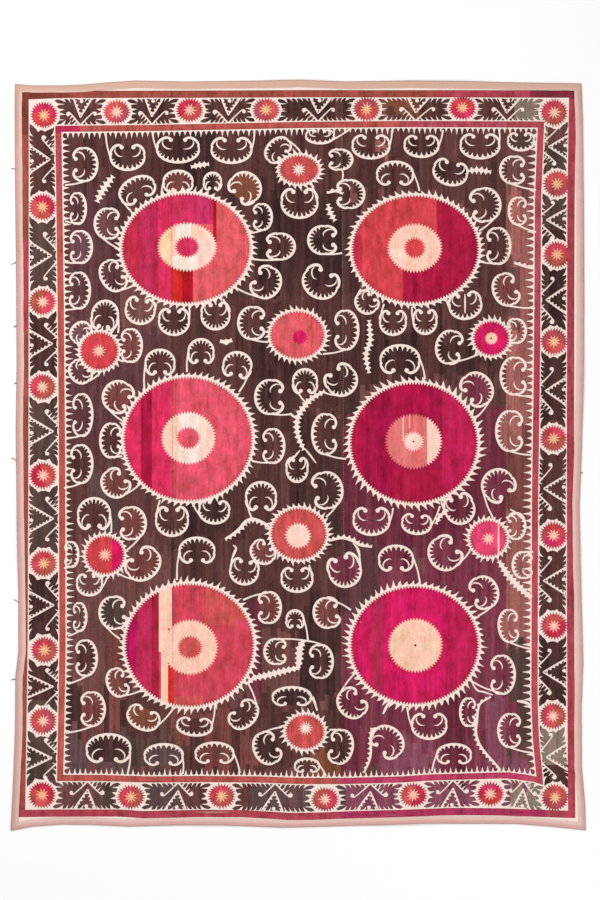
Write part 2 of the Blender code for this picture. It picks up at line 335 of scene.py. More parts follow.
# %% Strokes
def stroke(points, widths, steps=5):
    """The outline of a line drawn with a pen whose width follows a short list of widths."""
    line = smooth(points, steps)
    wide = np.interp(np.linspace(0, 1, len(line)), np.linspace(0, 1, len(widths)), widths)[:, None] / 2
    side = normals(line)
    return np.vstack([line + side * wide, (line - side * wide)[::-1]])


def toothed_stroke(points, wide, pitch, depth, sides=(1,), steps=6):
    """A stroke with teeth on its left (1), its right (-1) or both."""
    line = smooth(points, steps)
    teeth = max(2, round(lengths(line)[-1] / pitch))
    line = resample(line, teeth * TOOTH_POINTS + 1)
    side = normals(line)
    edge = {}
    for which in (1, -1):
        deep = [depth * cusp(i / TOOTH_POINTS) if which in sides else 0 for i in range(len(line))]
        taper = np.sin(np.linspace(0.12, 0.88, len(line)) * math.pi) ** 0.5
        edge[which] = line + side * which * ((wide / 2 + np.array(deep)) * taper)[:, None]
    return np.vstack([edge[1], edge[-1][::-1]])

# %% Round shapes and boxes
def disc(x, y, across, down, teeth, depth, sharp=1.0, uneven=0.0, points=4, lean=0.0):
    """A round shape whose edge has teeth that point outwards, with its valleys `depth` inside its tips.

    A lean above 0 bends the tips over to one side, by that share of a tooth."""
    ring = []
    start = chance.uniform(0, 1)
    for tooth in range(teeth):
        deep = depth * (1 + uneven * chance.uniform(-1, 1))
        for i in range(points):
            share = i / points
            high = cusp(share, sharp)
            turn = 2 * math.pi * (tooth + share + start + lean * high) / teeth
            inward = depth - deep * high
            ring.append((x + (across - inward) * math.cos(turn), y + (down - inward) * math.sin(turn)))
    return ring


def plain_disc(x, y, radius, points=10):
    turns = [2 * math.pi * i / points for i in range(points)]
    return [(x + radius * math.cos(t), y + radius * math.sin(t)) for t in turns]


def box_ring(left, top, right, bottom):
    return [(left, top), (right, top), (right, bottom), (left, bottom)]


def tint_boxes(rows, over=None):
    """Lays each box of a table in its lot, over one kind of silk or over the kind that its row names."""
    for row in rows:
        kind = {"RED": RED, "LIGHT": LIGHT}[row.over] if over is None else over
        tint(box_ring(row.left, row.top, row.right, row.bottom), kind, row.lot)

# %% [markdown]
# ### Frames and field
#
# Two red lines frame the border, with a thin line of bare cotton on each side. They were drawn along the
# cloth by eye, so each side of each frame is a line through a few places, and rings are set in from these.
# The border's cotton is laid first and its leaves and rosettes on it. Then come the cotton inside the inner
# frame, both red lines, and last the dark field, whose edge has teeth.

# %% The two frames
Frame = namedtuple("Frame", "left top right bottom")
OUTER_FRAME = Frame(
    left=[(96, 25.6), (300, 25.6), (500, 25.2), (650, 24.5), (815, 22.0)],
    top=[(25, 96.5), (60, 95.0), (150, 94.8), (300, 94.3), (450, 94.3), (572, 94.6)],
    right=[(93, 572.2), (200, 570.5), (400, 570.0), (600, 570.0), (816, 571.2)],
    bottom=[(22, 813), (60, 812.5), (120, 812.5), (143, 814.2), (200, 812.8), (245, 813.2), (290, 816),
            (320, 815.6), (350, 814.3), (400, 812.8), (450, 811), (500, 811.4), (545, 813), (571, 814)],
)
INNER_FRAME = Frame(
    left=[(128, 58.3), (300, 60.7), (450, 62.0), (650, 62.5), (735, 61.0), (778, 60.0)],
    top=[(58, 128.8), (150, 128.0), (300, 125.0), (400, 124.0), (541, 124.5)],
    right=[(124, 541.0), (200, 538.0), (300, 537.5), (400, 536.5), (500, 535.0), (700, 534.5), (740, 536.0),
           (781, 540.0)],
    bottom=[(60, 778), (100, 778), (150, 779.5), (200, 779), (260, 779.5), (300, 781), (345, 781),
            (400, 779.5), (430, 777.5), (500, 775.5), (510, 775.5), (535, 779), (541, 782)],
)
LINE_HALF = 3.1
BARE_LINE = 0.8
CORNERS = {"lt": (0, 0), "rt": (PAGE_WIDE, 0), "rb": (PAGE_WIDE, PAGE_HIGH), "lb": (0, PAGE_HIGH)}
RUNS = (("top", "lt", "rt"), ("right", "rt", "rb"), ("bottom", "rb", "lb"), ("left", "lb", "lt"))

# %% Rings set in from a frame
def side_at(line, place):
    return np.interp(place, [p[0] for p in line], [p[1] for p in line])


def frame_ring(frame, inset, pitch=9.0, depth=0.0, coarse=1.0, uneven=0.35, sharp=2.2):
    """A ring set in from a frame's lines. A depth above 0 gives it teeth that point inwards.

    On the right side the teeth are `coarse` times as large, and on the left half as much larger."""
    ring = []
    corners = {}
    for name, (x, y) in CORNERS.items():
        for _ in range(3):
            x, y = (side_at(frame.left, y) + inset if "l" in name else side_at(frame.right, y) - inset,
                    side_at(frame.top, x) + inset if "t" in name else side_at(frame.bottom, x) - inset)
        corners[name] = (x, y)
    for side, first, last in RUNS:
        start, end = np.array(corners[first]), np.array(corners[last])
        flat = side in ("top", "bottom")
        far = abs(end - start)[0 if flat else 1]
        size = {"right": coarse, "left": (1 + coarse) / 2}.get(side, 1.0)
        teeth = max(1, round(far / (pitch * size)))
        per_tooth = TOOTH_POINTS if depth else 1
        deep = depth
        for i in range(teeth * per_tooth):
            share = i / (teeth * per_tooth)
            if i % per_tooth == per_tooth // 2:
                deep = depth * size * (1 + uneven * chance.uniform(-1, 1))
            place = start + (end - start) * share
            along = place[0] if flat else place[1]
            inward = inset + deep * cusp(i / per_tooth, sharp) * (1 if i else 0)
            line = side_at(getattr(frame, side), along)
            line += inward if side in ("top", "left") else -inward
            ring.append((along, line) if flat else (line, along))
    return ring


def line_ring(frame, out):
    """The red line of a frame: its outer edge, then its inner edge turned round, which leaves a hole."""
    outer, inner = frame_ring(frame, -out), frame_ring(frame, LINE_HALF)
    return outer + outer[:1] + inner[:1] + inner[::-1]

# %% [markdown]
# ### The scrolls
#
# The field is filled with C-shaped scrolls that hang on stems from the frames and rosettes. Each has a
# back with teeth on its inner side, and at both ends a hook that curls in to a round bud, with a thin thorn
# beside it. All are one drawing, stretched to its place. The columns say where its middle is, its half
# size across its opening and along it, which way it opens (0 right, 90 up), where its stem ends, on which
# side of the scroll the stem leaves (T, B, L, R), and which lot of thread fills it. Copies of one mesh would
# be quicker, but their lines would grow thick and thin with them, so each scroll is drawn from its row.

# %% The table of scrolls
SCROLLS = rows_of("Scroll", """
x y across along opens stem_x stem_y side lot
85.5 164.5 17.5 13 180 65 185 B -
127.5 157.5 18 13.5 90 105.5 133 L ink
178 150 22 13.5 90 152.5 133 L -
78.5 208.5 16.5 8.5 180 65 221 B -
81.5 247 17 11.5 180 64 262 B mauve
136.5 189 19.5 12.5 297 131 211 LB -
178 181 15.5 11.5 270 161.5 196 L walnut
106.5 223.5 16 13 0 119 249 B bark
231.5 150.5 21 13.5 90 254.5 131 R umber
277 149 15 10.5 315 300 151 TR -
212.5 181 9.5 9.5 270 217 191 R -
246 187 17 15 225 244 204 B rust
263 217 14 10 180 250 233 B -
299.5 203.5 19 15.5 90 312 186 R umber
281 246.5 14 15 180 252 259 B umber
320 137 15 7.5 90 350 129 R -
341 159.5 11 12.5 180 - - - ink
351 194 15 14.5 180 - - - -
371 147 19.5 12.5 90 392 130 R -
395 173 19 12.5 270 419.5 191 R umber
322 240 15 15 0 342 253 B ink
421.5 146.5 18 11.5 90 443 130 R ink
480 146.5 20.5 13 90 499 129 R umber
450 173 18 13 75 - - - ink
521 142 14 9.5 90 536 150 R moss
512 170 14.5 13 0 536 190 B -
486 204.5 17.5 15.5 190 479 231 B -
517 211 14.5 9.5 0 536 232 B brick
499 246 19 12.5 180 478 261 B -
80 290.5 19 11 180 64 309.5 B -
112 276.5 17 12 30 134 285 B -
105 315 14 15.5 262 118 333 R umber
140 311 15.5 14 80 156 303 R -
80 331.5 12 9.5 315 93 332 TR mauve
132 345.5 17.5 11 180 119 360 B walnut
160 362 15.5 13.5 270 144.5 391 L umber
174 322 16 14 90 189 305 R ink
215.5 316 15 14.5 90 223 299 R umber
267 283 17 14.5 150 236 288 BL -
251 323 17 14 0 268 342 B umber
201 351 13.5 13 270 187 372 L -
237.5 364.5 15 13.5 260 239 392 R umber
320 283 19 16 60 - - - -
347 330 20.5 12.5 180 323 354 B umber
366 303 12.5 11 45 361 289 LT -
393 323 14 13 90 384 304 L umber
425 322 12.5 13 90 412 307 L -
400 359 20.5 15 270 425 379 R ink
305 381 13 13 270 307 404 L ink
465.5 306 17 14 100 446 298 L umber
448.5 347 17.5 13.5 350 479 354 B ink
517 331 13 10 180 510 343 B -
505 290 17 13 20 535 308 B walnut
513 376 19.5 13.5 0 530 396 B -
79.5 372.5 13 10.5 40 98 375 BR -
83 415 22 10.5 180 65 438 B -
117 396 16.5 15 330 124 422 B walnut
110 440.5 18 11 0 122 456 B umber
82 464 20 11.5 180 64 488 B umber
114.5 484 15.5 13.5 40 140 484 BR walnut
269 397 18 15 0 292 414 B -
274 446 18 11.5 180 252 461 B umber
297 470 11.5 13 90 294 456 L -
261 496 16 15 270 252 519 L -
342 381 16.5 15.5 130 323 392 BL ink
324 434 21 13 0 346 459 B umber
328 490 19 15.5 190 326 517 B ink
478 388.5 18 15 215 477 417 BR plum
509 431 21 14 0 531 455 B brick
497.5 484.5 17 16 310 493 518 LB plum
94 513.5 17 16.5 270 111 533 R umber
133 523 17 14 185 127 550 B walnut
172 521.5 17 15.5 90 160 500 L umber
72 554.5 13.5 7.5 180 64 568 B -
89.5 585 13.5 11.5 90 107 578 R -
144 565 19 15 130 119 574 BL walnut
244 572 15 13.5 80 235 550 L umber
262 553 13.5 11 50 275 558 BR walnut
214 512 16 12.5 85 193 504 L ink
197 550 18.5 13.5 270 177 580 L umber
297 580 16.5 13 90 309 565 R -
371.5 521.5 19 14.5 90 393 508 R plum
416.5 524.5 15.5 10.5 85 440 506 R -
460 509.5 15.5 15.5 110 441 500 L -
345 571 17 17 110 357 548 R plum
396 558 18 13.5 270 420 583 R wine
444 554 18 16 35 470 551 BR plum
517 526 14 9.5 180 506 518 T -
522 565 14 10.5 0 533 552 T brick
485 592 17 14 200 478 616 B plum
80.3 617 15 7.2 180 68 636 B bark
112.5 613 17 14.2 8 120 639 B moss
270 607.5 16.5 12 180 243 600 T walnut
295 618.8 9.5 9.6 270 308 641 R -
326 613 16 13.5 10 351 610 T walnut
86.8 658 18.7 11.2 180 68 684 B umber
93.3 709 17.8 12.7 180 66 733 B walnut
116.6 683 15.2 10.5 20 140 691 B -
142.7 718.7 17.4 11.7 65 173 709 R rust
274.8 651.5 13.5 11.6 0 308 641 T umber
244.5 715.5 17 12 135 248 683 R umber
194.5 727 18.5 9.6 86 215 703 R umber
291.8 696 20.2 10 270 317 710 R ink
321.6 661.5 17.5 12.4 180 308 641 T ink
351 704 16.5 13.5 40 356 672 L wine
507.9 626 17 10.4 4 531 649 B brick
503.3 674.8 20.2 12.7 180 471 681 B plum
467.3 712.2 14.8 8.3 0 475 726 B wine
509 730.5 17.5 11.9 0 533 753 B -
108.5 748 23 15 270 128 772 R ink
163.7 754.4 20.2 11.4 270 183 774 R slate
214.5 752.6 20 11.1 270 240 773 R walnut
266 748.7 17.3 13.2 25 282 727 T ink
307 765 13 7.5 270 326 776 R umber
341.5 747 18 12.4 170 329 730 T umber
388.3 741 18 14.5 225 - - - plum
429.3 726.5 18.2 13.5 90 407 707 L wine
454 753.6 18 10.6 270 432 771 L -
""")
print(len(SCROLLS), "scrolls")

# %% One scroll
BACK_STARTS = 68
TEETH_START = 84
SCROLL_LINE = 2.0
SCROLL_PITCH = 5.0
DEEPEST_TOOTH, TOOTH_SHARE, TOOTH_SHARP = 4.7, 0.31, 2.7
FILL_POINTS, BACK_POINTS = 18, 30
HOOK = [(0.95, 0.26), (0.91, 0.50), (0.76, 0.78), (0.54, 0.92), (0.36, 0.85), (0.29, 0.66)]
THORN = [(0.67, 0.74), (0.71, 0.48), (0.60, 0.22), (0.42, 0.08), (0.24, 0.10)]
SIDES = {"T": (0, -1), "B": (0, 1), "L": (-1, 0), "R": (1, 0)}


def tangent_turn(px, py):
    """The two places on the unit circle whose tangents pass through a point, as turns from its top."""
    far = math.hypot(px, py)
    middle = math.atan2(px, py)
    spread = math.acos(min(1.0, 1 / max(far, 1.02)))
    return middle - spread, middle + spread


def draw_scroll(row):
    opens = math.radians(row.opens)
    along = np.array([math.cos(opens), -math.sin(opens)])
    across = np.array([math.sin(opens), math.cos(opens)])
    middle = np.array([row.x, row.y])
    small = min(row.across, row.along)

    def page(s, t):
        return middle + across * (s * row.across) + along * (t * row.along)

    def back(turn, inward):
        """A place on the back, `inward` steps inside its outer edge."""
        s, t = math.sin(turn), math.cos(turn)
        place = page(s, t)
        out = across * (s * row.along) + along * (t * row.across)
        return place - out / np.linalg.norm(out) * inward

    if row.lot != "-":
        tint([back(2 * math.pi * i / FILL_POINTS, 1.0) for i in range(FILL_POINTS)], DARK, row.lot)

    def swell(turn):
        """The width of the plain part of the back, which is widest opposite the opening."""
        return SCROLL_LINE * (0.85 + 0.25 * math.sin(turn / 2) ** 4)

    first, last = math.radians(BACK_STARTS), math.radians(360 - BACK_STARTS)
    outer = [back(turn, 0) for turn in np.linspace(first, last, BACK_POINTS)]
    toothed_from, toothed_to = math.radians(TEETH_START), math.radians(360 - TEETH_START)
    round_length = (toothed_to - toothed_from) * (row.across + row.along) / 2
    teeth = round(round_length / (SCROLL_PITCH * (0.75 + small / 52)))
    depth = min(DEEPEST_TOOTH, small * TOOTH_SHARE)
    inner = [back(first, swell(first))]
    for i in range(teeth * TOOTH_POINTS + 1):
        turn = toothed_from + (toothed_to - toothed_from) * i / (teeth * TOOTH_POINTS)
        fade = math.sin(math.pi * i / (teeth * TOOTH_POINTS)) ** 0.35
        inner.append(back(turn, swell(turn) + depth * fade * cusp(i / TOOTH_POINTS, TOOTH_SHARP)))
    inner.append(back(last, swell(last)))
    lay(outer + inner[::-1], COTTON)

    for side in (-1, 1):
        hook = [page(side * s, t) for s, t in HOOK]
        thick = 0.12 * small + 0.7
        lay(stroke(hook, (SCROLL_LINE * 0.9, thick, thick * 1.15, thick, thick * 0.95), 4), COTTON)
        bud = (hook[-1] + hook[-2]) / 2
        lay(plain_disc(bud[0], bud[1], 0.10 * small + 0.75), COTTON)
        thorn = [page(side * s, t) for s, t in THORN]
        lay(stroke(thorn, (0.4, 1.3, 1.5, 1.1, 0.15), 3), COTTON)

    if row.side != "-":
        draw_stem(row, page, across, along, middle)

# %% The stem of a scroll
def draw_stem(row, page, across, along, middle):
    """A stem leaves the back along its tangent and runs to its place on a frame or a rosette."""
    end = np.array([row.stem_x, row.stem_y])
    wanted = sum(np.array(SIDES[letter]) for letter in row.side)
    side = 1 if wanted @ across >= 0 else -1
    local = end - middle
    turns = tangent_turn(local @ across / row.across, local @ along / row.along)
    turn = max(turns, key=lambda a: side * math.sin(a))
    step = 0.35 if math.cos(turn) > math.cos(turn + 0.35) else -0.35
    shrink = 1 - SCROLL_LINE * 0.45 / min(row.across, row.along)
    touch = [page(math.sin(a) * shrink, math.cos(a) * shrink) for a in (turn, turn + step / 2, turn + step)]
    halfway = (end + touch[0]) / 2
    away = halfway - middle
    halfway = halfway + away / np.linalg.norm(away) * 0.05 * np.linalg.norm(end - touch[0])
    lay(stroke([end, halfway] + touch, (1.9, 1.5, 1.8, 2.0, 1.2), 5), COTTON)

# %% [markdown]
# ### Tendrils and other small shapes
#
# Between the scrolls run toothed tendrils, combs and single leaves. Each row of this table is one of
# them: the width of its line, the side that has teeth (L or R as it is drawn, B both, N none), how deep they
# are, and its places in order.

# %% The table of tendrils
TENDRILS = """
2.6 B 4.2 113,176 107,184 101,193 97,202
2.6 B 2.4 191,167 200,165 209,164
2.2 B 3.4 467,171 478,170 491,172
2.0 B 3.4 328,204 330,212 335,221
1.8 N 0.0 342,169 343,175 342,181
2.6 L 2.0 327,193 336,191 343,194
3.4 B 1.6 220,341 226,342 232,340
2.2 B 3.2 369,320 370,333 370,342 366,355 369,373
1.8 N 0.0 465,294 465,303 465,313
2.4 L 2.2 514,263 524,266 534,269
2.8 B 3.0 325,391 311,399 301,411 297,421 298,436 304,450
2.2 N 0.0 290,413 293,416 298,419
1.8 N 0.0 305,449 310,455 316,463
1.8 N 0.0 300,450 296,455 293,459
3.0 L 3.2 271,528 262,522 252,519 245,522 240,528 233,534 225,539
2.0 N 0.0 233,545 236,549 231,561
2.6 L 3.2 329,541 342,538 353,541 360,545 372,547
2.0 N 0.0 353,543 358,549 360,556
2.2 B 2.2 436,524 440,516 448,510
3.8 B 3.0 499,561 508,575 516,584 531,598
4.6 B 2.6 304,640 300,648 299,660 298,668
3.4 B 2.8 299,668 288,670 276,673 264,676 254,678 247,684
2.6 N 0.0 391,700 387,706 383,714
2.2 R 2.6 491,697 481,703 478,711 477,722 476,732 479,743 485,752 492,760 501,770
2.0 R 2.8 372,728 371,741 371,753 369,762 364,773
4.6 N 0.0 378,728 373,731 371,738
1.8 N 0.0 493,695 484,692 477,690 471,681
3.0 N 0.0 517,701 524,702 531,705
2.0 N 0.0 313,696 315,703 317,711
1.8 N 0.0 510,509 516,513 525,521
"""
TENDRIL_PITCH = 5.0
print(len(TENDRILS.strip().splitlines()), "tendrils and small shapes")


def draw_tendrils():
    for line in TENDRILS.strip().splitlines():
        wide, side, depth, *places = line.split()
        points = [tuple(float(n) for n in place.split(",")) for place in places]
        if side == "N":
            lay(stroke(points, (float(wide) * 0.5, float(wide), float(wide), float(wide) * 0.6), 5), COTTON)
        else:
            sides = {"L": (1,), "R": (-1,), "B": (1, -1)}[side]
            lay(toothed_stroke(points, float(wide), TENDRIL_PITCH, float(depth), sides), COTTON)

# %% [markdown]
# ### Medallions and rosettes
#
# Six great medallions stand in two columns, with smaller rosettes between them. From outside in, each is a
# halo of bare cotton with spikes, a red disc with fine teeth, a pale ring with teeth and a red dot. Parts of
# the reds were worked in other lots, in upright bars, because the stitches run that way.

# %% The tables of medallions and rosettes
MEDALLIONS = rows_of("Medallion", """
x y across down lot ring_x ring_y ring_a ring_b ring_lot dot_a dot_b dot_lot spikes spike lean
186.0 248.4 65.5 56.0 salmon 187.2 247.0 30.2 25.2 shell 12.7 11.2 pink 66 4.6 0.3
415.3 249.4 64.5 55.0 coral 414.8 248.0 27.9 25.2 peach 11.3 11.0 coral 64 4.1 -0.3
188.0 439.0 65.5 63.0 rose 188.4 438.0 27.9 27.0 peach 12.5 11.5 rose 70 4.4 0.3
414.0 443.0 64.8 61.2 crimson 413.6 441.5 29.1 28.4 salmon 10.4 10.2 shell 62 5.8 -0.4
189.4 645.3 65.6 62.5 rosy 190.0 647.3 28.7 28.4 peach 13.0 12.0 faded 68 5.2 0.3
414.6 645.3 65.2 60.0 magenta 415.4 645.4 27.9 27.7 apricot 1.3 1.3 umber 66 5.6 0.3
""")
ROSETTES = rows_of("Rosette", """
x y across down lot star_x star_y star_r star_lot rays eye
299.0 169.5 21.0 15.5 faded 299.0 169.5 7.4 pale 12 -
297.3 335.0 28.5 25.0 salmon 300.0 337.0 8.0 magenta 16 -
99.2 351.0 20.2 20.2 coral 99.2 351.0 7.4 peach 12 -
491.3 338.4 19.0 18.5 magenta 491.3 338.4 6.6 peach 20 umber
298.7 534.0 29.0 27.0 faded 298.0 535.7 14.0 shell 26 -
105.0 555.0 20.5 20.5 coral 105.0 555.0 7.0 peach 12 -
488.3 538.5 20.0 19.4 fuchsia 488.3 538.5 6.6 peach 10 -
305.0 731.8 20.7 18.5 faded 305.7 728.3 7.6 pale 14 -
""")
BARS = rows_of("Bar", """
left top right bottom over lot
118 190 139 305 RED raspberry
139 190 158 305 RED bramble
158 190 173 305 RED carmine
172 190 190 224 RED pink
190 190 213 224 RED orchid
213 190 216.5 242 RED blood
172.5 268 182 306 RED scarlet
182 268 193 306 RED blood
437 190 470 250 RED cherry
403 249 475 306 RED cherry
470 190 482 306 RED crimson
350 235 362 270 RED raspberry
120 375 141 504 RED carmine
141 375 152 504 RED cherry
152 375 171 504 RED carmine
171 375 176 504 RED rosy
348 380 366 506 RED madder
392 380 430 413 RED madder
442 380 482 506 RED wineberry
392 470 442 506 RED cherry
120 580 136 710 RED mulberry
136 580 152 710 RED bramble
152 580 159 710 RED ruby
168 660 173 709 RED scarlet
173 696 205 709 RED faded
205 580 256 625 RED faded
238 620 256 690 RED rosy
372 580 384 710 RED bramble
446 580 482 710 RED wineberry
160 221 171 274 LIGHT sandy
171 221 176 274 LIGHT peach
176 221 191 238 LIGHT pale
191 221 205 240 LIGHT peach
172 256 198 274 LIGHT pale
178 408 200 468 LIGHT pale
200 408 218 468 LIGHT shell
387 248 402 274 LIGHT shell
402.6 415 403.8 441 LIGHT apricot
409 413 410 428 LIGHT apricot
427 412 444 471 LIGHT shell
""")
ROSETTE_BARS = rows_of("Bar", """
left top right bottom over lot
112 530 128 580 RED magenta
""")
LIGHT_BARS = rows_of("LightBar", """
left top right bottom
158.8 580 172 628
158.8 625 168 652
161 650 168 709
497.7 522 499.5 556
""")

print(len(MEDALLIONS), "medallions and", len(ROSETTES), "rosettes")

# %% Draw a medallion and a rosette
FINE_PITCH, FINE_TOOTH = 3.0, 3.0
RING_PITCH = 3.2
DOT_OVER, DOT_TOOTH = 0.4, 3.2
EYE = 1.0
HALO_PITCH, HALO_SPIKE, HALO_LEAN = 5.4, 4.4, 0.3
FEW_RAYS = 15
DEEP_RAYS, FINE_RAYS = 0.62, 0.24


def teeth_round(across, down, pitch):
    return round(math.pi * (across + down) / pitch)


def draw_halo(row, out, spikes, spike, lean):
    across, down = row.across + out + spike, row.down + out + spike
    lay(disc(row.x, row.y, across, down, spikes, spike, sharp=2.0, uneven=0.4, points=6, lean=lean), COTTON)
    teeth = teeth_round(row.across, row.down, FINE_PITCH)
    lay(disc(row.x, row.y, row.across, row.down, teeth, FINE_TOOTH), RED, row.lot)


def draw_eye(x, y, radius, lot):
    lay(plain_disc(x, y, radius, 8), DARK, lot)


def draw_medallion(row):
    draw_halo(row, 1.0, int(row.spikes), row.spike, row.lean)


def draw_middle(row):
    teeth = teeth_round(row.ring_a, row.ring_b, RING_PITCH)
    lay(disc(row.ring_x, row.ring_y, row.ring_a, row.ring_b, teeth, FINE_TOOTH), LIGHT, row.ring_lot)


def draw_dot(row):
    if row.dot_a < DOT_TOOTH:
        draw_eye(row.ring_x, row.ring_y, row.dot_a, row.dot_lot)
        return
    teeth = teeth_round(row.dot_a, row.dot_b, FINE_PITCH)
    kind = LIGHT if row.dot_lot == "shell" else RED
    across, down = row.dot_a + DOT_OVER, row.dot_b + DOT_OVER
    lay(disc(row.ring_x, row.ring_y, across, down, teeth, DOT_TOOTH), kind, row.dot_lot)
    if kind == LIGHT:
        draw_eye(row.ring_x, row.ring_y, EYE, "umber")


def draw_rosette(row):
    spikes = teeth_round(row.across + 3, row.down + 3, HALO_PITCH)
    draw_halo(row, 0.6, spikes, HALO_SPIKE, chance.choice((-HALO_LEAN, HALO_LEAN)))
    deep = row.star_r * (DEEP_RAYS if row.rays < FEW_RAYS else FINE_RAYS)
    kind = RED if row.star_lot == "magenta" else LIGHT
    star = disc(row.star_x, row.star_y, row.star_r, row.star_r, int(row.rays), deep, sharp=1.3, uneven=0.15)
    lay(star, kind, row.star_lot)
    if row.eye != "-":
        draw_eye(row.star_x, row.star_y, EYE, row.eye)

# %% [markdown]
# ### The border
#
# Small red rosettes stand along the border. Between each two lies a dark leaf that forks round the
# rosettes, cut by a chevron whose arms end in curls, and by a small triangle with teeth inside it. One
# function draws this unit for all four sides: `u` runs along the side and `v` from the inner frame outwards.

# %% Where the border's rosettes stand
LEFT_ROSETTES = ((44, 115), (42.5, 207), (42.5, 302), (42.5, 387), (43, 475.5), (43.6, 563.5), (44.4, 650),
                 (43, 721), (42, 795))
RIGHT_ROSETTES = ((554, 112.5), (557, 184), (557, 254.6), (554, 341.6), (553.5, 438.6), (553.5, 535.4),
                  (554, 626), (553, 716), (555, 797.5))
TOP_ROSETTES = ((44, 115), (116.7, 112), (189.8, 110), (266, 110), (366.6, 109), (462.6, 108), (554, 112.5))
BOTTOM_ROSETTES = ((42, 795), (131, 797), (221.6, 796), (325, 799.4), (413.4, 795), (490.4, 794),
                   (555, 797.5))
BORDER = {"left": LEFT_ROSETTES, "right": RIGHT_ROSETTES, "top": TOP_ROSETTES, "bottom": BOTTOM_ROSETTES}
UPRIGHT_ROSETTE, LEVEL_ROSETTE = (14.6, 14.3), (14.6, 13.0)
print(sum(len(rosettes) - 1 for rosettes in BORDER.values()), "units in the border")

# %% The lots of the border and of the red lines
BORDER_TINTS = rows_of("Tint", """
left top right bottom lot
26 97 545 124 umber
26 97 104 124 cocoa
130 97 180 124 ink
250 97 330 124 ink
376 97 420 124 rust
514 97 545 124 stone
26 128 62 200 umber
26 200 62 300 moss
26 300 62 400 ink
26 400 62 560 moss
26 560 62 700 ink
26 700 62 790 moss
538 124 548 145 stone
538 145 572 230 moss
538 230 572 420 ink
538 420 572 640 umber
538 640 572 720 ink
538 720 572 765 stone
538 765 572 790 ink
26 780 100 812 bark
96 780 130 812 moss
130 780 180 812 slate
180 780 250 812 cocoa
250 780 345 815 slate
345 780 510 815 grape
510 780 545 812 stone
""")

FRAME_TINTS = rows_of("Tint", """
left top right bottom lot
18 88 31 135 chestnut
31 88 62 99 chestnut
436 88 530 99 garnet
530 88 580 99 oxblood
566 99 582 820 garnet
18 808 340 824 garnet
340 808 545 824 damson
545 808 582 824 garnet
54 136 67 200 brickred
22 240 30 330 garnet
55 122 80 134 bramble
80 122 400 134 cedar
400 120 546 131 brickred
531 131 546 790 brickred
531 300 546 420 garnet
54 772 340 786 cedar
340 772 530 786 berry
""")

# %% Places along the border, and one leaf
FEATHER_PITCH = 4.9
FEATHER = ((0.24, 0.7), (0.58, 0.0), (0.97, 0.3))
HORN_ROOM = 5


def side_place(side):
    """The function that turns a place along and out from the inner frame into a place on the drawing."""
    start = LINE_HALF + BARE_LINE

    def place(u, v):
        if side in ("left", "right"):
            out = -1 if side == "left" else 1
            return (side_at(getattr(INNER_FRAME, side), u) + out * (start + v), u)
        out = -1 if side == "top" else 1
        return (u, side_at(getattr(INNER_FRAME, side), u) + out * (start + v))

    return place


def flank(far, upright):
    """Half of one side of a leaf, as places (along, in from the side): feathers that lean outwards with thin
    slits between them, and then the horn or the feathers that reach round a rosette."""
    feathers = max(2, round((far - HORN_ROOM) / FEATHER_PITCH))
    pitch = (far - HORN_ROOM) / feathers
    line = []
    for number in range(feathers):
        start = 0.6 + number * pitch
        slit = chance.uniform(3.2, 5.0)
        line += [(start + pitch * share, v) for share, v in FEATHER + ((0.66, slit),)]
    if upright:
        horn = [(-2.2, 1.2), (2.0, 0.2), (chance.uniform(6, 8), 0.6), (3.4, 6.0), (-1.2, 8.8)]
    else:
        horn = [(-1.6, 1.0), (2.2, 0.2), (5.5, 1.6), (2.0, 4.2), (-chance.uniform(3.5, 6.0), 5.2),
                (1.0, 5.8), (3.0, 7.4), (1.2, 9.6), (-chance.uniform(3.5, 6.0), 10.2)]
    return line + [(far + u, v) for u, v in horn]


def leaf_ring(low, high, deep, upright):
    """A dark leaf between two rosettes, as places (along, out) from the middle of its inner side."""
    halves = []
    for far, hand in ((high, 1), (-low, -1)):
        inner, outer = flank(far, upright), flank(far, upright)
        half = inner + [(far + 1.2, deep / 2)] + [(u, deep - v) for u, v in outer[::-1]]
        halves.append([(hand * u, v) for u, v in half])
    return halves[0] + halves[1][::-1]

# %% The unit between two rosettes
ROSETTE_ROOM = 15.6
FULL_UNIT = 86
ARM = ((0.0, -0.8), (0.45, 5.6), (0.88, 11.0), (1.06, 12.4), (1.24, 11.6))
ARM_WIDTHS = (1.8, 1.2, 1.1, 1.4, 1.6)
LONG_ARM, SHORT_ARM = 14.0, 12.5
BARBS = (0.3, 0.52, 0.74, 0.94)
BARB_WIDTHS = (1.7, 0.2)
LEG_WIDE, LEG_PITCH, LEG_DEEP = 1.3, 3.9, 2.3


def draw_bud(at, u, v, radius):
    x, y = at([(u, v)])[0]
    lay(plain_disc(x, y, radius, 8), COTTON)


def draw_arm(at, root, reach, hand):
    """One arm of the chevron, which ends in a curl. Only one of the two has barbs."""
    arm = at([(hand * (root + reach * share), v) for share, v in ARM])
    lay(stroke(arm, ARM_WIDTHS, 4), COTTON)
    draw_bud(at, hand * (root + reach * 1.15), 10.6, 1.8)
    if hand == 1:
        for far in BARBS:
            u, v = root + reach * far, 12.0 * far
            lay(stroke(at([(u, v - 0.2), (u + 3.4, v - 3.6)]), BARB_WIDTHS, 3), COTTON)


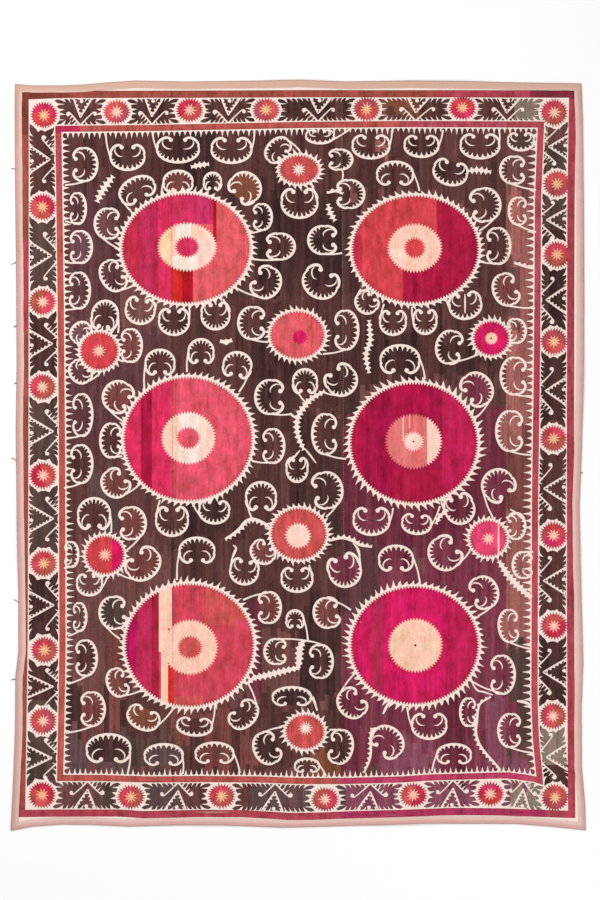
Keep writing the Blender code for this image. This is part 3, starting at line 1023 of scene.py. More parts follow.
def draw_unit(side, low, high):
    """The leaf, chevron and triangle between two rosettes, which stand at these places along the side."""
    place = side_place(side)
    outer = side_at(getattr(OUTER_FRAME, side), (low + high) / 2)
    inner = side_at(getattr(INNER_FRAME, side), (low + high) / 2)
    deep = abs(outer - inner) - 2 * (LINE_HALF + BARE_LINE)
    upright = side in ("left", "right")
    middle = (low + high) / 2 + chance.uniform(-2.0, 2.0)
    size = min(1.0, (high - low) / FULL_UNIT)
    mirrored = -1 if side in ("left", "top") else 1
    root, apex, short_foot = (6.0, 4.4, 15.0) if upright else (0.0, 7.2, 8.5)
    leaf = leaf_ring(low + ROSETTE_ROOM - middle, high - ROSETTE_ROOM - middle, deep, upright)
    lay([place(middle + u, v) for u, v in leaf], DARK)

    def at(points):
        return [place(middle + mirrored * u * size, v) for u, v in points]

    reaches = LONG_ARM + chance.uniform(-1, 2), SHORT_ARM + chance.uniform(-1, 2)
    for hand, reach in zip((-1, 1), reaches):
        draw_arm(at, root, reach, hand)
    for foot in (-14.5, short_foot):
        leg = at([(0.0, apex), (foot * 0.5, (apex + deep) / 2 + 0.4), (foot, deep + 1.0)])
        turned_in = 1 if (foot < 0) == (mirrored > 0) else -1
        if side in ("top", "right"):
            turned_in = -turned_in
        lay(toothed_stroke(leg, LEG_WIDE, LEG_PITCH, LEG_DEEP, (turned_in,)), COTTON)
    draw_bud(at, -1.5, deep - 2.4, 1.9)

# %% One rosette of the border
ROSETTE_LOTS = (("faded", "raspberry"), ("cedar", "rosy"), ("faded", "brickred"), ("coral", "pink"))
STAR, STAR_RAYS, STAR_DEEP = 6.9, 10, 4.5
HALO_WIDE, HALO_TEETH = 1.5, 22
BEYOND, HALF_ROUND = 18, (0.0, 1.0, 2.0, 3.1)


def draw_border_rosette(x, y, across, down):
    """A halo of bare cotton, a red disc with deep teeth in two lots of thread, and a pale star."""
    lay(disc(x, y, across + HALO_WIDE, down + HALO_WIDE, HALO_TEETH, 0.7, sharp=1.4, uneven=0.3), COTTON)
    lot, other = chance.choice(ROSETTE_LOTS)
    lay(disc(x, y, across, down, round((across + down) * 0.98), 3.4, sharp=1.1, uneven=0.2), RED, lot)
    turn = chance.uniform(0, 2 * math.pi)
    half = [turn + angle for angle in HALF_ROUND]
    tint([(x + BEYOND * math.cos(angle), y + BEYOND * math.sin(angle)) for angle in half], RED, other)
    star = disc(x, y, STAR, STAR, STAR_RAYS, STAR_DEEP, sharp=1.2, uneven=0.12)
    lay(star, LIGHT, chance.choice(("sand", "peach", "sand")))

# %% [markdown]
# ### The dark silks of the field
#
# The dark ground was filled strip by strip and area by area. These boxes say which lot lies where, and a
# later one covers an earlier one. Their upright sides are true to the work, since a filling starts along a
# strand, and their ends are ragged.

# %% The lots of the field
FIELD_TINTS = rows_of("Tint", """
left top right bottom lot
60 120 171 260 umber
60 180 120 330 fig
60 330 171 480 fig
60 440 171 560 cocoa
90 470 120 560 slate
60 540 171 690 bark
108 610 130 690 walnut
66 680 82 735 ink
82 690 104 735 walnut
104 690 109 745 ink
109 690 120 745 walnut
120 690 126 745 ink
126 690 171 745 umber
60 735 131 776 slate
131 735 171 776 moss
171 120 341 300 umber
171 120 215 200 ink
215 190 245 215 ink
255 190 341 300 ink
171 290 341 420 umber
250 330 300 420 ink
171 420 341 560 ink
230 440 290 530 umber
171 540 341 640 umber
250 600 262 700 wine
262 690 268 712 rust
300 600 341 700 ink
171 700 341 776 umber
171 700 230 740 walnut
205 720 232 776 walnut
240 730 262 776 walnut
310 740 341 776 rust
341 120 506 200 umber
341 120 400 150 cocoa
375 135 388 155 brick
425 120 506 160 cocoa
341 190 360 420 ink
470 190 506 330 umber
341 290 506 380 umber
341 330 420 380 ink
440 330 506 380 ink
470 370 506 430 umber
475 400 506 430 wine
341 425 506 560 wine
341 558 506 625 plum
341 540 380 640 fig
440 540 506 620 plum
341 620 506 776 plum
341 690 360 776 wine
380 740 440 776 grape
440 690 475 776 wine
478 600 506 776 plum
485 690 506 765 grape
506 120 540 200 bark
506 190 540 420 brick
506 260 520 330 bark
506 420 540 520 walnut
506 520 540 645 brick
506 645 541 755 moss
506 700 519 755 plum
506 755 541 780 grape
""")
print(len(FIELD_TINTS), "areas of dark silk")

# %% Lay a lot strand by strand
RAGGED = 14
STRIP_WIDTHS = (2.2, 6.5)


def fill_in_strips(row):
    """A lot of thread ends strand by strand: the box is laid as upright strips with uneven ends."""
    x = row.left
    while x < row.right:
        after = min(row.right, x + chance.uniform(*STRIP_WIDTHS))
        top, bottom = (chance.uniform(-RAGGED, RAGGED) for _ in range(2))
        tint(box_ring(x, row.top + top, after, row.bottom + bottom), DARK, row.lot)
        x = after

# %% Lay everything
def draw_all():
    """Everything in the order in which it is laid."""
    lay(frame_ring(OUTER_FRAME, -LINE_HALF), COTTON)
    for side, rosettes in BORDER.items():
        places = [y if side in ("left", "right") else x for x, y in rosettes]
        for low, high in zip(places, places[1:]):
            draw_unit(side, low, high)
    for x, y in LEFT_ROSETTES + RIGHT_ROSETTES:
        draw_border_rosette(x, y, *UPRIGHT_ROSETTE)
    for x, y in TOP_ROSETTES[1:-1] + BOTTOM_ROSETTES[1:-1]:
        draw_border_rosette(x, y, *LEVEL_ROSETTE)
    tint_boxes(BORDER_TINTS, DARK)
    lay(frame_ring(INNER_FRAME, LINE_HALF), COTTON)
    lay(line_ring(OUTER_FRAME, LINE_HALF + 1.0), RED, "russet")
    lay(line_ring(INNER_FRAME, LINE_HALF), RED, "cedar")
    tint_boxes(FRAME_TINTS, RED)
    field = frame_ring(INNER_FRAME, LINE_HALF + 1.0, pitch=5.3, depth=5.4, coarse=1.3, sharp=3.3)
    lay(field, DARK, "bark")
    for row in FIELD_TINTS:
        fill_in_strips(row)
    for row in SCROLLS:
        draw_scroll(row)
    draw_tendrils()
    for row in MEDALLIONS:
        draw_medallion(row)
    for row in MEDALLIONS:
        draw_middle(row)
    tint_boxes(BARS)
    for row in MEDALLIONS:
        draw_dot(row)
    for row in ROSETTES:
        draw_rosette(row)
    tint_boxes(ROSETTE_BARS)
    for row in LIGHT_BARS:
        tint(box_ring(*row), RED, "peach", LIGHT)


draw_all()
print(len(drawing), "shapes with", sum(len(s.ring) for s in drawing), "points in the drawing")

# %% [markdown]
# ## From the drawing to worked cloth
#
# Each strip is one closed piece: cotton with silk standing a little above it. The edges of all shapes go
# into a constrained Delaunay triangulation, so a change of silk always falls on an edge of the mesh and
# stays sharp however it is shown. More points follow each edge just inside the silk, where the stitches
# reach full height, and a loose grid fills the rest so that the cloth can bend over its folds.

# %% Which silk lies where
SILK_HIGH = 0.7 * MM
SILK_MEETS_SILK = 0.4 * MM
COTTON_THICK = CLOTH_THICK - SILK_HIGH
EDGE_ROLL = 0.34
GRID, GRID_JITTER = 2.1, 0.25
NEAREST = 0.55
BESIDE_STRIP = 4
SPECK = 5e-6


def inside(points, ring):
    """Which points lie in a ring, counted by how often it winds round them."""
    order = np.argsort(points[:, 1], kind="stable")
    x, y = points[order, 0], points[order, 1]
    start, end = ring, np.roll(ring, -1, axis=0)
    first = np.searchsorted(y, np.minimum(start[:, 1], end[:, 1]), side="left")
    last = np.searchsorted(y, np.maximum(start[:, 1], end[:, 1]), side="left")
    count = last - first
    edge = np.repeat(np.arange(len(ring)), count)
    level = np.arange(count.sum()) - np.repeat(np.cumsum(count) - count, count) + first[edge]
    a, b = start[edge], end[edge]
    meets = a[:, 0] + (b[:, 0] - a[:, 0]) * (y[level] - a[:, 1]) / (b[:, 1] - a[:, 1])
    turn = np.where(b[:, 1] > a[:, 1], 1, -1) * (x[level] < meets)
    found = np.zeros(len(points), bool)
    found[order] = np.rint(np.bincount(level, turn, len(points))) != 0
    return found


def look_up(points, shapes):
    """The kind of silk and the lot of thread at each place of the drawing."""
    silk = np.full(len(points), COTTON)
    lot = np.zeros(len(points), int)
    order = np.argsort(points[:, 0], kind="stable")
    sorted_x = points[order, 0]
    for shape in shapes:
        low, high = shape.ring.min(axis=0), shape.ring.max(axis=0)
        near = order[np.searchsorted(sorted_x, low[0]):np.searchsorted(sorted_x, high[0])]
        near = near[(points[near, 1] > low[1]) & (points[near, 1] < high[1])]
        if shape.over is not None:
            near = near[silk[near] == shape.over]
        near = near[inside(points[near], shape.ring)]
        if shape.silk is not None:
            silk[near] = shape.silk
        if shape.lot is not None:
            lot[near] = LOT_NAMES.index(shape.lot)
    return silk, lot

# %% The outline of a strip
def strip_side(number, right):
    """x of the left or right side of a strip, as a function of y."""
    if number == 0 and not right:
        return lambda y: left_edge(y) + FOLD_ROOM
    if number == len(SEAMS) and right:
        return lambda y: right_edge(y) - FOLD_ROOM
    seam = SEAMS[number if right else number - 1]
    return lambda y: seam_x(seam, y) + (-1 if right else 1) * PIECE_GAP / 2


def strip_outline(number, spacing=0.02):
    """The corners and sides of a strip of cloth, anticlockwise from its bottom left."""
    sides = strip_side(number, False), strip_side(number, True)
    ends = lambda x: bottom_edge(x) + FOLD_ROOM, lambda x: top_edge(x) - FOLD_ROOM
    corner = {}
    for i, side in enumerate(sides):
        for j, end in enumerate(ends):
            x, y = side(0.0), end(side(0.0))
            for _ in range(6):
                x, y = side(y), end(x)
            corner[i, j] = np.array([float(x), float(y)])

    def run(start, end, place):
        steps = max(2, round(np.linalg.norm(end - start) / spacing))
        return [place(start + (end - start) * k / steps) if k else start for k in range(steps)]

    outline = run(corner[0, 0], corner[1, 0], lambda p: (p[0], ends[0](p[0])))
    outline += run(corner[1, 0], corner[1, 1], lambda p: (sides[1](p[1]), p[1]))
    outline += run(corner[1, 1], corner[0, 1], lambda p: (p[0], ends[1](p[0])))
    outline += run(corner[0, 1], corner[0, 0], lambda p: (sides[0](p[1]), p[1]))
    return np.array([(float(x), float(y)) for x, y in outline])

# %% Points for the mesh of a strip
def edge_points(shape, left, right):
    """The drawn points of a shape near a strip, with the pairs of them that its edges join."""
    ring = shape.ring
    close = (ring[:, 0] > left) & (ring[:, 0] < right)
    joined = close | np.roll(close, -1)
    return [(ring[i], ring[(i + 1) % len(ring)]) for i in np.flatnonzero(joined)]


def rolled_points(shapes, left, right):
    """Places a short way to both sides of each drawn edge."""
    both = []
    for shape in shapes:
        if shape.silk is None:
            continue
        along = np.roll(shape.ring, -1, axis=0) - np.roll(shape.ring, 1, axis=0)
        along /= np.linalg.norm(along, axis=1)[:, None] + 1e-9
        side = np.stack([along[:, 1], -along[:, 0]], axis=1) * EDGE_ROLL
        both += [shape.ring + side, shape.ring - side]
    both = np.vstack(both)
    return both[(both[:, 0] > left) & (both[:, 0] < right)]


def spaced(points, keep_off, distance):
    """The points that are no nearer than this to what is kept off, or to a point taken before them."""
    tree = KDTree(len(keep_off))
    for i, p in enumerate(keep_off):
        tree.insert((p[0], p[1], 0), i)
    tree.balance()
    taken, cells = [], {}
    for p in points:
        if tree.find((p[0], p[1], 0))[2] < distance:
            continue
        cell = (int(p[0] / distance), int(p[1] / distance))
        near = (cells.get((cell[0] + i, cell[1] + j)) for i in (-1, 0, 1) for j in (-1, 0, 1))
        if any(q is not None and abs(q[0] - p[0]) + abs(q[1] - p[1]) < distance for q in near):
            continue
        cells[cell] = p
        taken.append(p)
    return np.array(taken)

# %% Triangulate a strip
def triangulate(points, edges):
    """Corners and triangles of a constrained Delaunay triangulation."""
    made = delaunay_2d_cdt([Vector(p) for p in points], edges, [], 0, SPECK, False)
    return np.array([tuple(v) for v in made[0]]), np.array(made[2])


def ring_edges(first, count):
    return [(first + i, first + (i + 1) % count) for i in range(count)]


def rim_of(triangles):
    """The corners round the rim of a mesh of triangles, in order."""
    edges = np.vstack([triangles[:, (0, 1)], triangles[:, (1, 2)], triangles[:, (2, 0)]])
    there = {tuple(e) for e in edges.tolist()}
    following = {a: b for a, b in there if (b, a) not in there}
    start = corner = next(iter(following))
    rim = []
    while True:
        rim.append(corner)
        corner = following[corner]
        if corner == start:
            return rim


def work_strip(number):
    """Corners, triangles and the silk and lot of each triangle of the worked face of a strip."""
    outline = strip_outline(number)
    drawn = to_drawing(outline)
    left, right = drawn[:, 0].min() - BESIDE_STRIP, drawn[:, 0].max() + BESIDE_STRIP
    shapes = [s for s in drawing if s.ring[:, 0].max() > left and s.ring[:, 0].min() < right]
    pairs = [pair for shape in shapes for pair in edge_points(shape, left, right)]
    fixed = to_cloth(np.array(pairs).reshape(-1, 2))
    middle = (outline[:, 1].min() + outline[:, 1].max()) / 2
    cut = np.array([(outline[:, 0].min() - 0.01, middle), (outline[:, 0].max() + 0.01, middle)])
    edges = ring_edges(0, len(outline)) + [(len(outline), len(outline) + 1)]
    start = len(outline) + 2
    edges += [(start + 2 * i, start + 2 * i + 1) for i in range(len(pairs))]
    drawn_edges = np.array(pairs).reshape(-1, 2)
    rolled = rolled_points(shapes, left, right)
    rolled = rolled[look_up(rolled, shapes)[0] != COTTON]
    rolled = spaced(rolled, drawn_edges, EDGE_ROLL * 0.72)
    across = np.arange(left, right, GRID)
    down = np.arange(drawn[:, 1].min(), drawn[:, 1].max(), GRID)
    grid = np.array([(x + GRID / 2 * (row % 2), y) for row, y in enumerate(down) for x in across])
    grid += np.random.default_rng(number).uniform(-GRID_JITTER, GRID_JITTER, grid.shape)
    grid = spaced(grid, np.vstack([drawn_edges, rolled]), NEAREST)
    loose = to_cloth(np.vstack([rolled, grid]))
    loose = loose[inside(loose, outline)]
    corners, triangles = triangulate(np.vstack([outline, cut, fixed, loose]), edges)
    middles = corners[triangles].mean(axis=1)
    triangles = triangles[inside(middles, outline)]
    used, flat = np.unique(triangles, return_inverse=True)
    corners, triangles = corners[used], flat.reshape(-1, 3)
    silk, lot = look_up(to_drawing(corners[triangles].mean(axis=1)), shapes)
    return outline, middle, corners, triangles, silk, lot

# %% Heights, back and sides of a strip
BACK_GRID = 30 * MM
SHARP_EDGE = 55
# Painted shade: how much darker each kind of silk is painted where it turns down to the cotton.
PAINTED_EDGE_SHADE = np.array([1.0, 0.72, 0.52, 0.90])


def face_heights(corners, triangles, silk):
    """Bare cotton lies low, and silk stands full where no cotton touches it."""
    kinds = np.zeros((len(corners), 4), bool)
    for side in range(3):
        kinds[triangles[:, side], silk] = True
    stitched = kinds[:, 1:].sum(axis=1)
    high = np.where(stitched > 1, SILK_MEETS_SILK, SILK_HIGH)
    return np.where(kinds[:, COTTON], 0.0, high)


def back_face(corners, rim, outline):
    """A coarse face on the same rim, for the underside."""
    low, high = outline.min(axis=0), outline.max(axis=0)
    across, along = np.arange(low[0], high[0], BACK_GRID), np.arange(low[1], high[1], BACK_GRID)
    grid = np.array([(x, y) for x in across for y in along])
    grid = grid[inside(grid, outline)]
    grid = spaced(grid, corners[rim], BACK_GRID / 3)
    points = np.vstack([corners[rim], grid])
    made, triangles = triangulate(points, ring_edges(0, len(rim)))
    return made, triangles[inside(made[triangles].mean(axis=1), corners[rim])]


def strip_mesh(number):
    outline, middle, corners, triangles, silk, lot = work_strip(number)
    rim = rim_of(triangles)
    low = lift(corners[:, 0], corners[:, 1]) + rise(corners[:, 0], corners[:, 1])
    high = face_heights(corners, triangles, silk)
    high[rim] = 0
    top = np.column_stack([corners, low + COTTON_THICK + high])
    back, under = back_face(corners, rim, outline)
    assert len(back) >= len(rim) and np.abs(back[:len(rim)] - corners[rim]).max() < 1e-6
    bottom = np.column_stack([back, lift(back[:, 0], back[:, 1]) + rise(back[:, 0], back[:, 1])])
    first = len(top)
    faces = triangles.tolist() + (under[:, ::-1] + first).tolist()
    for i, corner in enumerate(rim):
        after = (i + 1) % len(rim)
        faces.append([rim[after], corner, first + i, first + after])
    mesh = bpy.data.meshes.new(f"suzani_strip_{number + 1}")
    mesh.from_pydata(np.vstack([top, bottom]).tolist(), [], faces)
    plain = len(faces) - len(triangles)
    kinds = np.concatenate([silk, np.full(plain, len(FINISHES) - 1)])
    mesh.polygons.foreach_set("material_index", kinds.astype(np.int32))
    colours = np.array([colour(code) for code in LOTS.values()])
    counts = np.array([len(f) for f in faces])
    shown = np.vstack([colours[lot], np.ones((plain, 4))])
    shown = np.repeat(shown, counts, axis=0)
    # Painted shade: silk corners that touch the cotton get a darker lot colour, like a shadow along the
    # silk's edge.
    painted_shade_corners = (high[triangles] < SILK_MEETS_SILK).ravel() & (np.repeat(silk, 3) != COTTON)
    shown[:len(painted_shade_corners), :3] *= np.where(painted_shade_corners, PAINTED_EDGE_SHADE[np.repeat(silk, 3)], 1.0)[:, None]
    attribute = mesh.color_attributes.new("lot", "FLOAT_COLOR", "CORNER")
    attribute.data.foreach_set("color", shown.astype(np.float32).ravel())
    lay_out(mesh, outline, middle, len(triangles))
    soften(mesh, SHARP_EDGE)
    return mesh

# %% Where a strip lies on the picture that its finish is baked to
FRONT_SHARE, BACK_SHARE = 0.46, 0.05
BACK_START = 0.945
SIDE_MARGIN, END_MARGIN = 0.004, 0.003


def lay_out(mesh, outline, middle, front):
    """The worked face in two halves side by side, and the back in a narrow column beside them."""
    low, high = outline.min(axis=0), outline.max(axis=0)
    corner = np.zeros(len(mesh.loops), np.int32)
    mesh.loops.foreach_get("vertex_index", corner)
    place = np.array([v.co[:2] for v in mesh.vertices])[corner]
    totals = np.array([p.loop_total for p in mesh.polygons])
    starts = np.concatenate([[0], np.cumsum(totals)[:-1]])
    mean_y = np.add.reduceat(place[:, 1], starts) / totals
    upper = np.repeat(mean_y > middle, totals)
    is_front = np.repeat(np.arange(len(totals)) < front, totals)
    across = (place[:, 0] - low[0]) / (high[0] - low[0])
    half = (high[1] - low[1]) / 2
    up = np.where(upper, place[:, 1] - middle, place[:, 1] - low[1]) / half
    column = SIDE_MARGIN + upper * (FRONT_SHARE + 2 * SIDE_MARGIN)
    u = np.where(is_front, column + across * FRONT_SHARE, BACK_START + across * BACK_SHARE)
    whole_up = (place[:, 1] - low[1]) / (2 * half)
    v = END_MARGIN + np.where(is_front, up, whole_up) * (1 - 2 * END_MARGIN)
    layer = mesh.uv_layers.new(name="OFBake")
    layer.data.foreach_set("uv", np.column_stack([u, v]).astype(np.float32).ravel())

# %% [markdown]
# ## The finishes
#
# Shader sums are easier to read as sums. The class below wraps one socket of a material, so that `a * 2 + b`
# adds its Math nodes, and one method adds any other node from its type, its settings and its inputs.

# %% A socket that can be added and multiplied
DULL = 0.06


class Sum:
    def __init__(self, tree, socket):
        self.tree, self.socket = tree, socket

    def math(self, operation, *others):
        node = self.tree.nodes.new("ShaderNodeMath")
        node.operation = operation
        for slot, value in zip(node.inputs, (self,) + others):
            if isinstance(value, Sum):
                self.tree.links.new(value.socket, slot)
            else:
                slot.default_value = value
        return Sum(self.tree, node.outputs[0])

    def __add__(self, other):
        return self.math("ADD", other)

    def __sub__(self, other):
        return self.math("SUBTRACT", other)

    def __rsub__(self, other):
        return (self * -1) + other

    def __mul__(self, other):
        return self.math("MULTIPLY", other)

    def __truediv__(self, other):
        return self.math("DIVIDE", other)

    __radd__ = __add__
    __rmul__ = __mul__


class Finish:
    """A material with a Principled BSDF, to which nodes are added by type."""

    def __init__(self, name, roughness=0.8, sheen=0.0):
        self.material = bpy.data.materials.new(name)
        self.material.use_nodes = True
        self.tree = self.material.node_tree
        self.shader = self.tree.nodes["Principled BSDF"]
        self.shader.inputs["Roughness"].default_value = roughness
        self.shader.inputs["Sheen Weight"].default_value = sheen
        self.shader.inputs["Specular IOR Level"].default_value = DULL

    def node(self, kind, settings=None, output=0, **inputs):
        """A new node's output. Its inputs are given by name, or by number as n0, n6 and so on."""
        node = self.tree.nodes.new(kind)
        for name, value in (settings or {}).items():
            setattr(node, name, value)
        for name, value in inputs.items():
            by_number = name[0] == "n" and name[1:].isdigit()
            key = int(name[1:]) if by_number else name.replace("_", " ")
            self.put(node.inputs[key], value)
        return Sum(self.tree, node.outputs[output])

    def put(self, socket, value):
        if isinstance(value, Sum):
            self.tree.links.new(value.socket, socket)
        else:
            socket.default_value = value

    def shade(self, **inputs):
        for name, value in inputs.items():
            self.put(self.shader.inputs[name.replace("_", " ")], value)

    def places(self):
        """Object coordinates, whole and as x and y."""
        whole = self.node("ShaderNodeTexCoord", output="Object")
        split = self.tree.nodes.new("ShaderNodeSeparateXYZ")
        self.tree.links.new(whole.socket, split.inputs[0])
        return whole, Sum(self.tree, split.outputs["X"]), Sum(self.tree, split.outputs["Y"])

    def point(self, x, y, z=0.0):
        return self.node("ShaderNodeCombineXYZ", X=x, Y=y, Z=z)

    def noise(self, place, scale, detail=2.0, rough=0.5):
        inputs = {"Vector": place, "Scale": scale, "Detail": detail, "Roughness": rough}
        return self.node("ShaderNodeTexNoise", {"noise_dimensions": "3D"}, **inputs)

    def blend(self, share, first, second, how="MIX"):
        """A colour between two colours, or two multiplied, by a share from 0 to 1."""
        settings = {"data_type": "RGBA", "blend_type": how, "clamp_factor": True}
        return self.node("ShaderNodeMix", settings, 2, n0=share, n6=first, n7=second)

    def bump(self, height, distance, strength=1.0):
        return self.node("ShaderNodeBump", Height=height, Distance=distance, Strength=strength)

# %% [markdown]
# ### Cotton
#
# The ground is hand-woven cotton, thick thread over and under at about a millimetre. It has yellowed
# unevenly. Modelled threads would take millions of faces and wouldn't show from a step away. So two sine
# waves at right angles, where one is raised while the other dips, give the plain weave as a bump.

# %% Cotton
THREAD_PITCH = 1.1 * MM


def weave(x, y, pitch):
    """Height of a plain weave: warp and weft take turns on top."""
    turn = math.pi / pitch
    warp = (x * turn).math("SINE")
    weft = (y * turn).math("SINE")
    return warp.math("ABSOLUTE").math("MAXIMUM", weft.math("ABSOLUTE")) * 0.6 + warp * weft * 0.4


def cotton_finish(name, colour, stained, roughness=0.92):
    finish = Finish(name, roughness, 0.15)
    place, x, y = finish.places()
    blotch = finish.noise(place, 5.0, 4.0, 0.6)
    slub = finish.noise(finish.point(x * 60, y * 900), 1.0, 2.0)
    slub = slub + finish.noise(finish.point(x * 900, y * 60), 1.0, 2.0)
    base = finish.blend(blotch.math("SMOOTH_MIN", 1.0, 0.2), colour, stained)
    shaded = finish.blend((slub - 0.7) * 0.5, base, [c * 0.8 for c in stained[:3]] + [1.0])
    height = weave(x, y, THREAD_PITCH) + slub * 0.6
    finish.shade(Base_Color=shaded, Normal=finish.bump(height, 0.25 * MM, 0.7))
    return finish.material

# %% [markdown]
# ### Silk
#
# The silk is laid in long upright strands and tied down by short slanting stitches over them, a way of
# filling large areas. So its colour runs in upright streaks, in bars where a new length of thread began,
# and its surface has fine upright ribs with small ties across. Strands are under a millimetre wide, so they
# are left to the finish too. The colour of the lot comes with the mesh, as an attribute of its corners, with
# painted shade darkening the silk where it turns down to the cotton.

# %% Silk
STRAND_PITCH = 0.9 * MM
TIE_PITCH = 4.2 * MM
BROAD_BAR, MIDDLE_BAR, NARROW_BAR = (0.026, 0.34, 3.0), (0.011, 0.21, 9.0), (0.0045, 0.13, 17.0)
WORN = [0.62, 0.52, 0.45, 1.0]


def sway(value, much):
    """A value from 0 to 1 as a swing to both sides of 0."""
    return (value - 0.5) * much


def bars(finish, x, y, wide, tall, seed):
    """A different value for each upright bar, `wide` across and about `tall` long, with staggered ends."""
    column = (x / wide + seed).math("FLOOR")
    offset = finish.node("ShaderNodeTexWhiteNoise", {"noise_dimensions": "1D"}, W=column)
    row = (y / tall + offset * 7.0).math("FLOOR")
    bar = finish.point(column, row)
    return finish.node("ShaderNodeTexWhiteNoise", {"noise_dimensions": "2D"}, Vector=bar)


def silk_finish(name, streak, fade, faded, clouded, roughness, worn_above):
    """Silk in its lots' colours. `streak` is how far strands differ, `fade` how much goes to `faded`, and
    `clouded` how far wide patches differ."""
    finish = Finish(name, roughness, 0.0)
    _, x, y = finish.places()
    wander = finish.noise(finish.point(x * 3.0, y * 3.0), 1.0, 2.0)
    cloud = finish.noise(finish.point(x * 32, y * 15), 1.0, 5.0, 0.68)
    wear = finish.noise(finish.point(x * 420, y * 60), 1.0, 3.0, 0.6)
    wavy = x + wander * 0.010
    broad = bars(finish, wavy, y, *BROAD_BAR)
    middle = bars(finish, wavy, y, *MIDDLE_BAR)
    narrow = bars(finish, wavy, y, *NARROW_BAR)
    strands = finish.noise(finish.point(x * 900, y * 14), 1.0, 3.0, 0.7)
    grain = finish.noise(finish.point(x * 150, y * 110), 1.0, 3.0, 0.7)
    hue = finish.noise(finish.point(x * 46, y * 30, 7.0), 1.0, 4.0, 0.7)
    light = 1.0 + sway(broad, 0.36 * streak) + sway(middle, 0.4 * streak) + sway(narrow, 0.4 * streak)
    light = light + sway(strands, 1.1 * streak) + sway(cloud, clouded) + sway(grain, 0.42 + streak)
    # The lot attribute holds each lot's colour, darkened by painted shade where the silk meets the cotton.
    lot = finish.node("ShaderNodeAttribute", {"attribute_name": "lot"}, "Color")
    warm = finish.blend((broad * 0.5 + middle * 0.5) * fade, lot, faded)
    red, green, blue = light + sway(hue, 0.7), light - sway(hue, 0.7), light + sway(cloud, clouded * 0.5)
    shade = finish.node("ShaderNodeCombineColor", Red=red, Green=green, Blue=blue)
    coloured = finish.blend(1.0, warm, shade, "MULTIPLY")
    coloured = finish.blend((wear - worn_above) * 6.0, coloured, WORN)
    slant = (x * (2 * math.pi / (TIE_PITCH * 0.8)) + y * (2 * math.pi / TIE_PITCH)).math("SINE")
    ties = (slant - 0.55).math("MAXIMUM", 0.0)
    ribs = (x * (2 * math.pi / STRAND_PITCH) + strands * 4.0).math("SINE")
    height = ribs * 0.25 + strands * 0.8 + ties * 0.7
    finish.shade(Base_Color=coloured, Normal=finish.bump(height, 0.22 * MM, 0.8))
    return finish.material

# %% Make the finishes of the strips
FINISHES = [
    cotton_finish("bare_cotton", colour("fbe9e0"), colour("f3ddd0")),
    silk_finish("dark_silk", 0.62, 0.18, colour("8a5a52"), clouded=0.7, roughness=0.62, worn_above=0.70),
    silk_finish("red_silk", 0.24, 0.04, colour("e0706c"), clouded=1.7, roughness=0.52, worn_above=0.80),
    silk_finish("light_silk", 0.12, 0.20, colour("f7dcc8"), clouded=0.7, roughness=0.60, worn_above=0.80),
    cotton_finish("cotton_back", colour("e2d2bb"), colour("cdb595")),
]

print("finishes:", ", ".join(finish.name for finish in FINISHES))

# %% Make the four strips
strips = []
for number in range(len(SEAMS) + 1):
    mesh = strip_mesh(number)
    for finish in FINISHES:
        mesh.materials.append(finish)
    strip = in_scene(mesh.name, mesh)
    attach(strip, "root")
    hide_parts(f"cloth_panel_{number + 1}")
    strips.append(strip)
    print(mesh.name, len(mesh.polygons), "faces")

# %% [markdown]
# ## The binding
#
# A strip of plain cotton, once pink, is folded over the raw edges and stitched down. It is one closed sheet
# bent round the edge, mitred at the corners, and the left side has a join where one strip ran out. Its upper
# leaf puffs a little between the stitches. A plane with a Solidify modifier could be folded so, but a section
# that is set at stations along each side meets the other pieces exactly. The pink has faded to tan in
# places, mostly near the top corners.

# %% Shape of the folded strip
FOLD_STEPS = 8
LEAF_INSETS_MM = (25, 22.5, 20, 16.5, 13, 9, 5)
STATION = 6.5 * MM
MITRE_GAP = 0.35 * MM
PUFF, PUFF_WAVE = 0.35 * MM, 47 * MM
WOBBLE, WOBBLE_WAVE = 0.9 * MM, 310 * MM
CALM_ENDS = 40 * MM
SHARP_FOLD = 50


def fold_profile():
    """(inset, height) round the folded strip, from the inner edge of its lower leaf to that of its upper."""
    low, high = BINDING_THICK / 2, FOLD_HIGH - BINDING_THICK / 2
    radius = (high - low) / 2
    lower = [(inset * MM, low) for inset in LEAF_INSETS_MM]
    upper = [(inset * MM, high) for inset in reversed(LEAF_INSETS_MM)]
    fold = []
    for step in range(FOLD_STEPS + 1):
        turn = math.pi * step / FOLD_STEPS
        fold.append((low + radius - radius * math.sin(turn), low + radius - radius * math.cos(turn)))
    return np.array(lower + fold + upper)


def drift(along, seed, wave):
    """A slow wander between -1 and 1 along a length."""
    rates = [(1.0, 0.5), (2.3, 0.3), (4.1, 0.2)]
    return sum(share * np.sin(2 * math.pi * along * rate / wave + seed * rate * 7) for rate, share in rates)


def on_side(side, along, inset, high):
    """Places on one side's binding, from how far along and how far in from the edge they are."""
    if side in ("left", "right"):
        x = left_edge(along) + inset if side == "left" else right_edge(along) - inset
        y = along
    else:
        x = along
        y = top_edge(along) - inset if side == "top" else bottom_edge(along) + inset
    return np.stack([x, y, lift(x, y) + high], axis=-1)


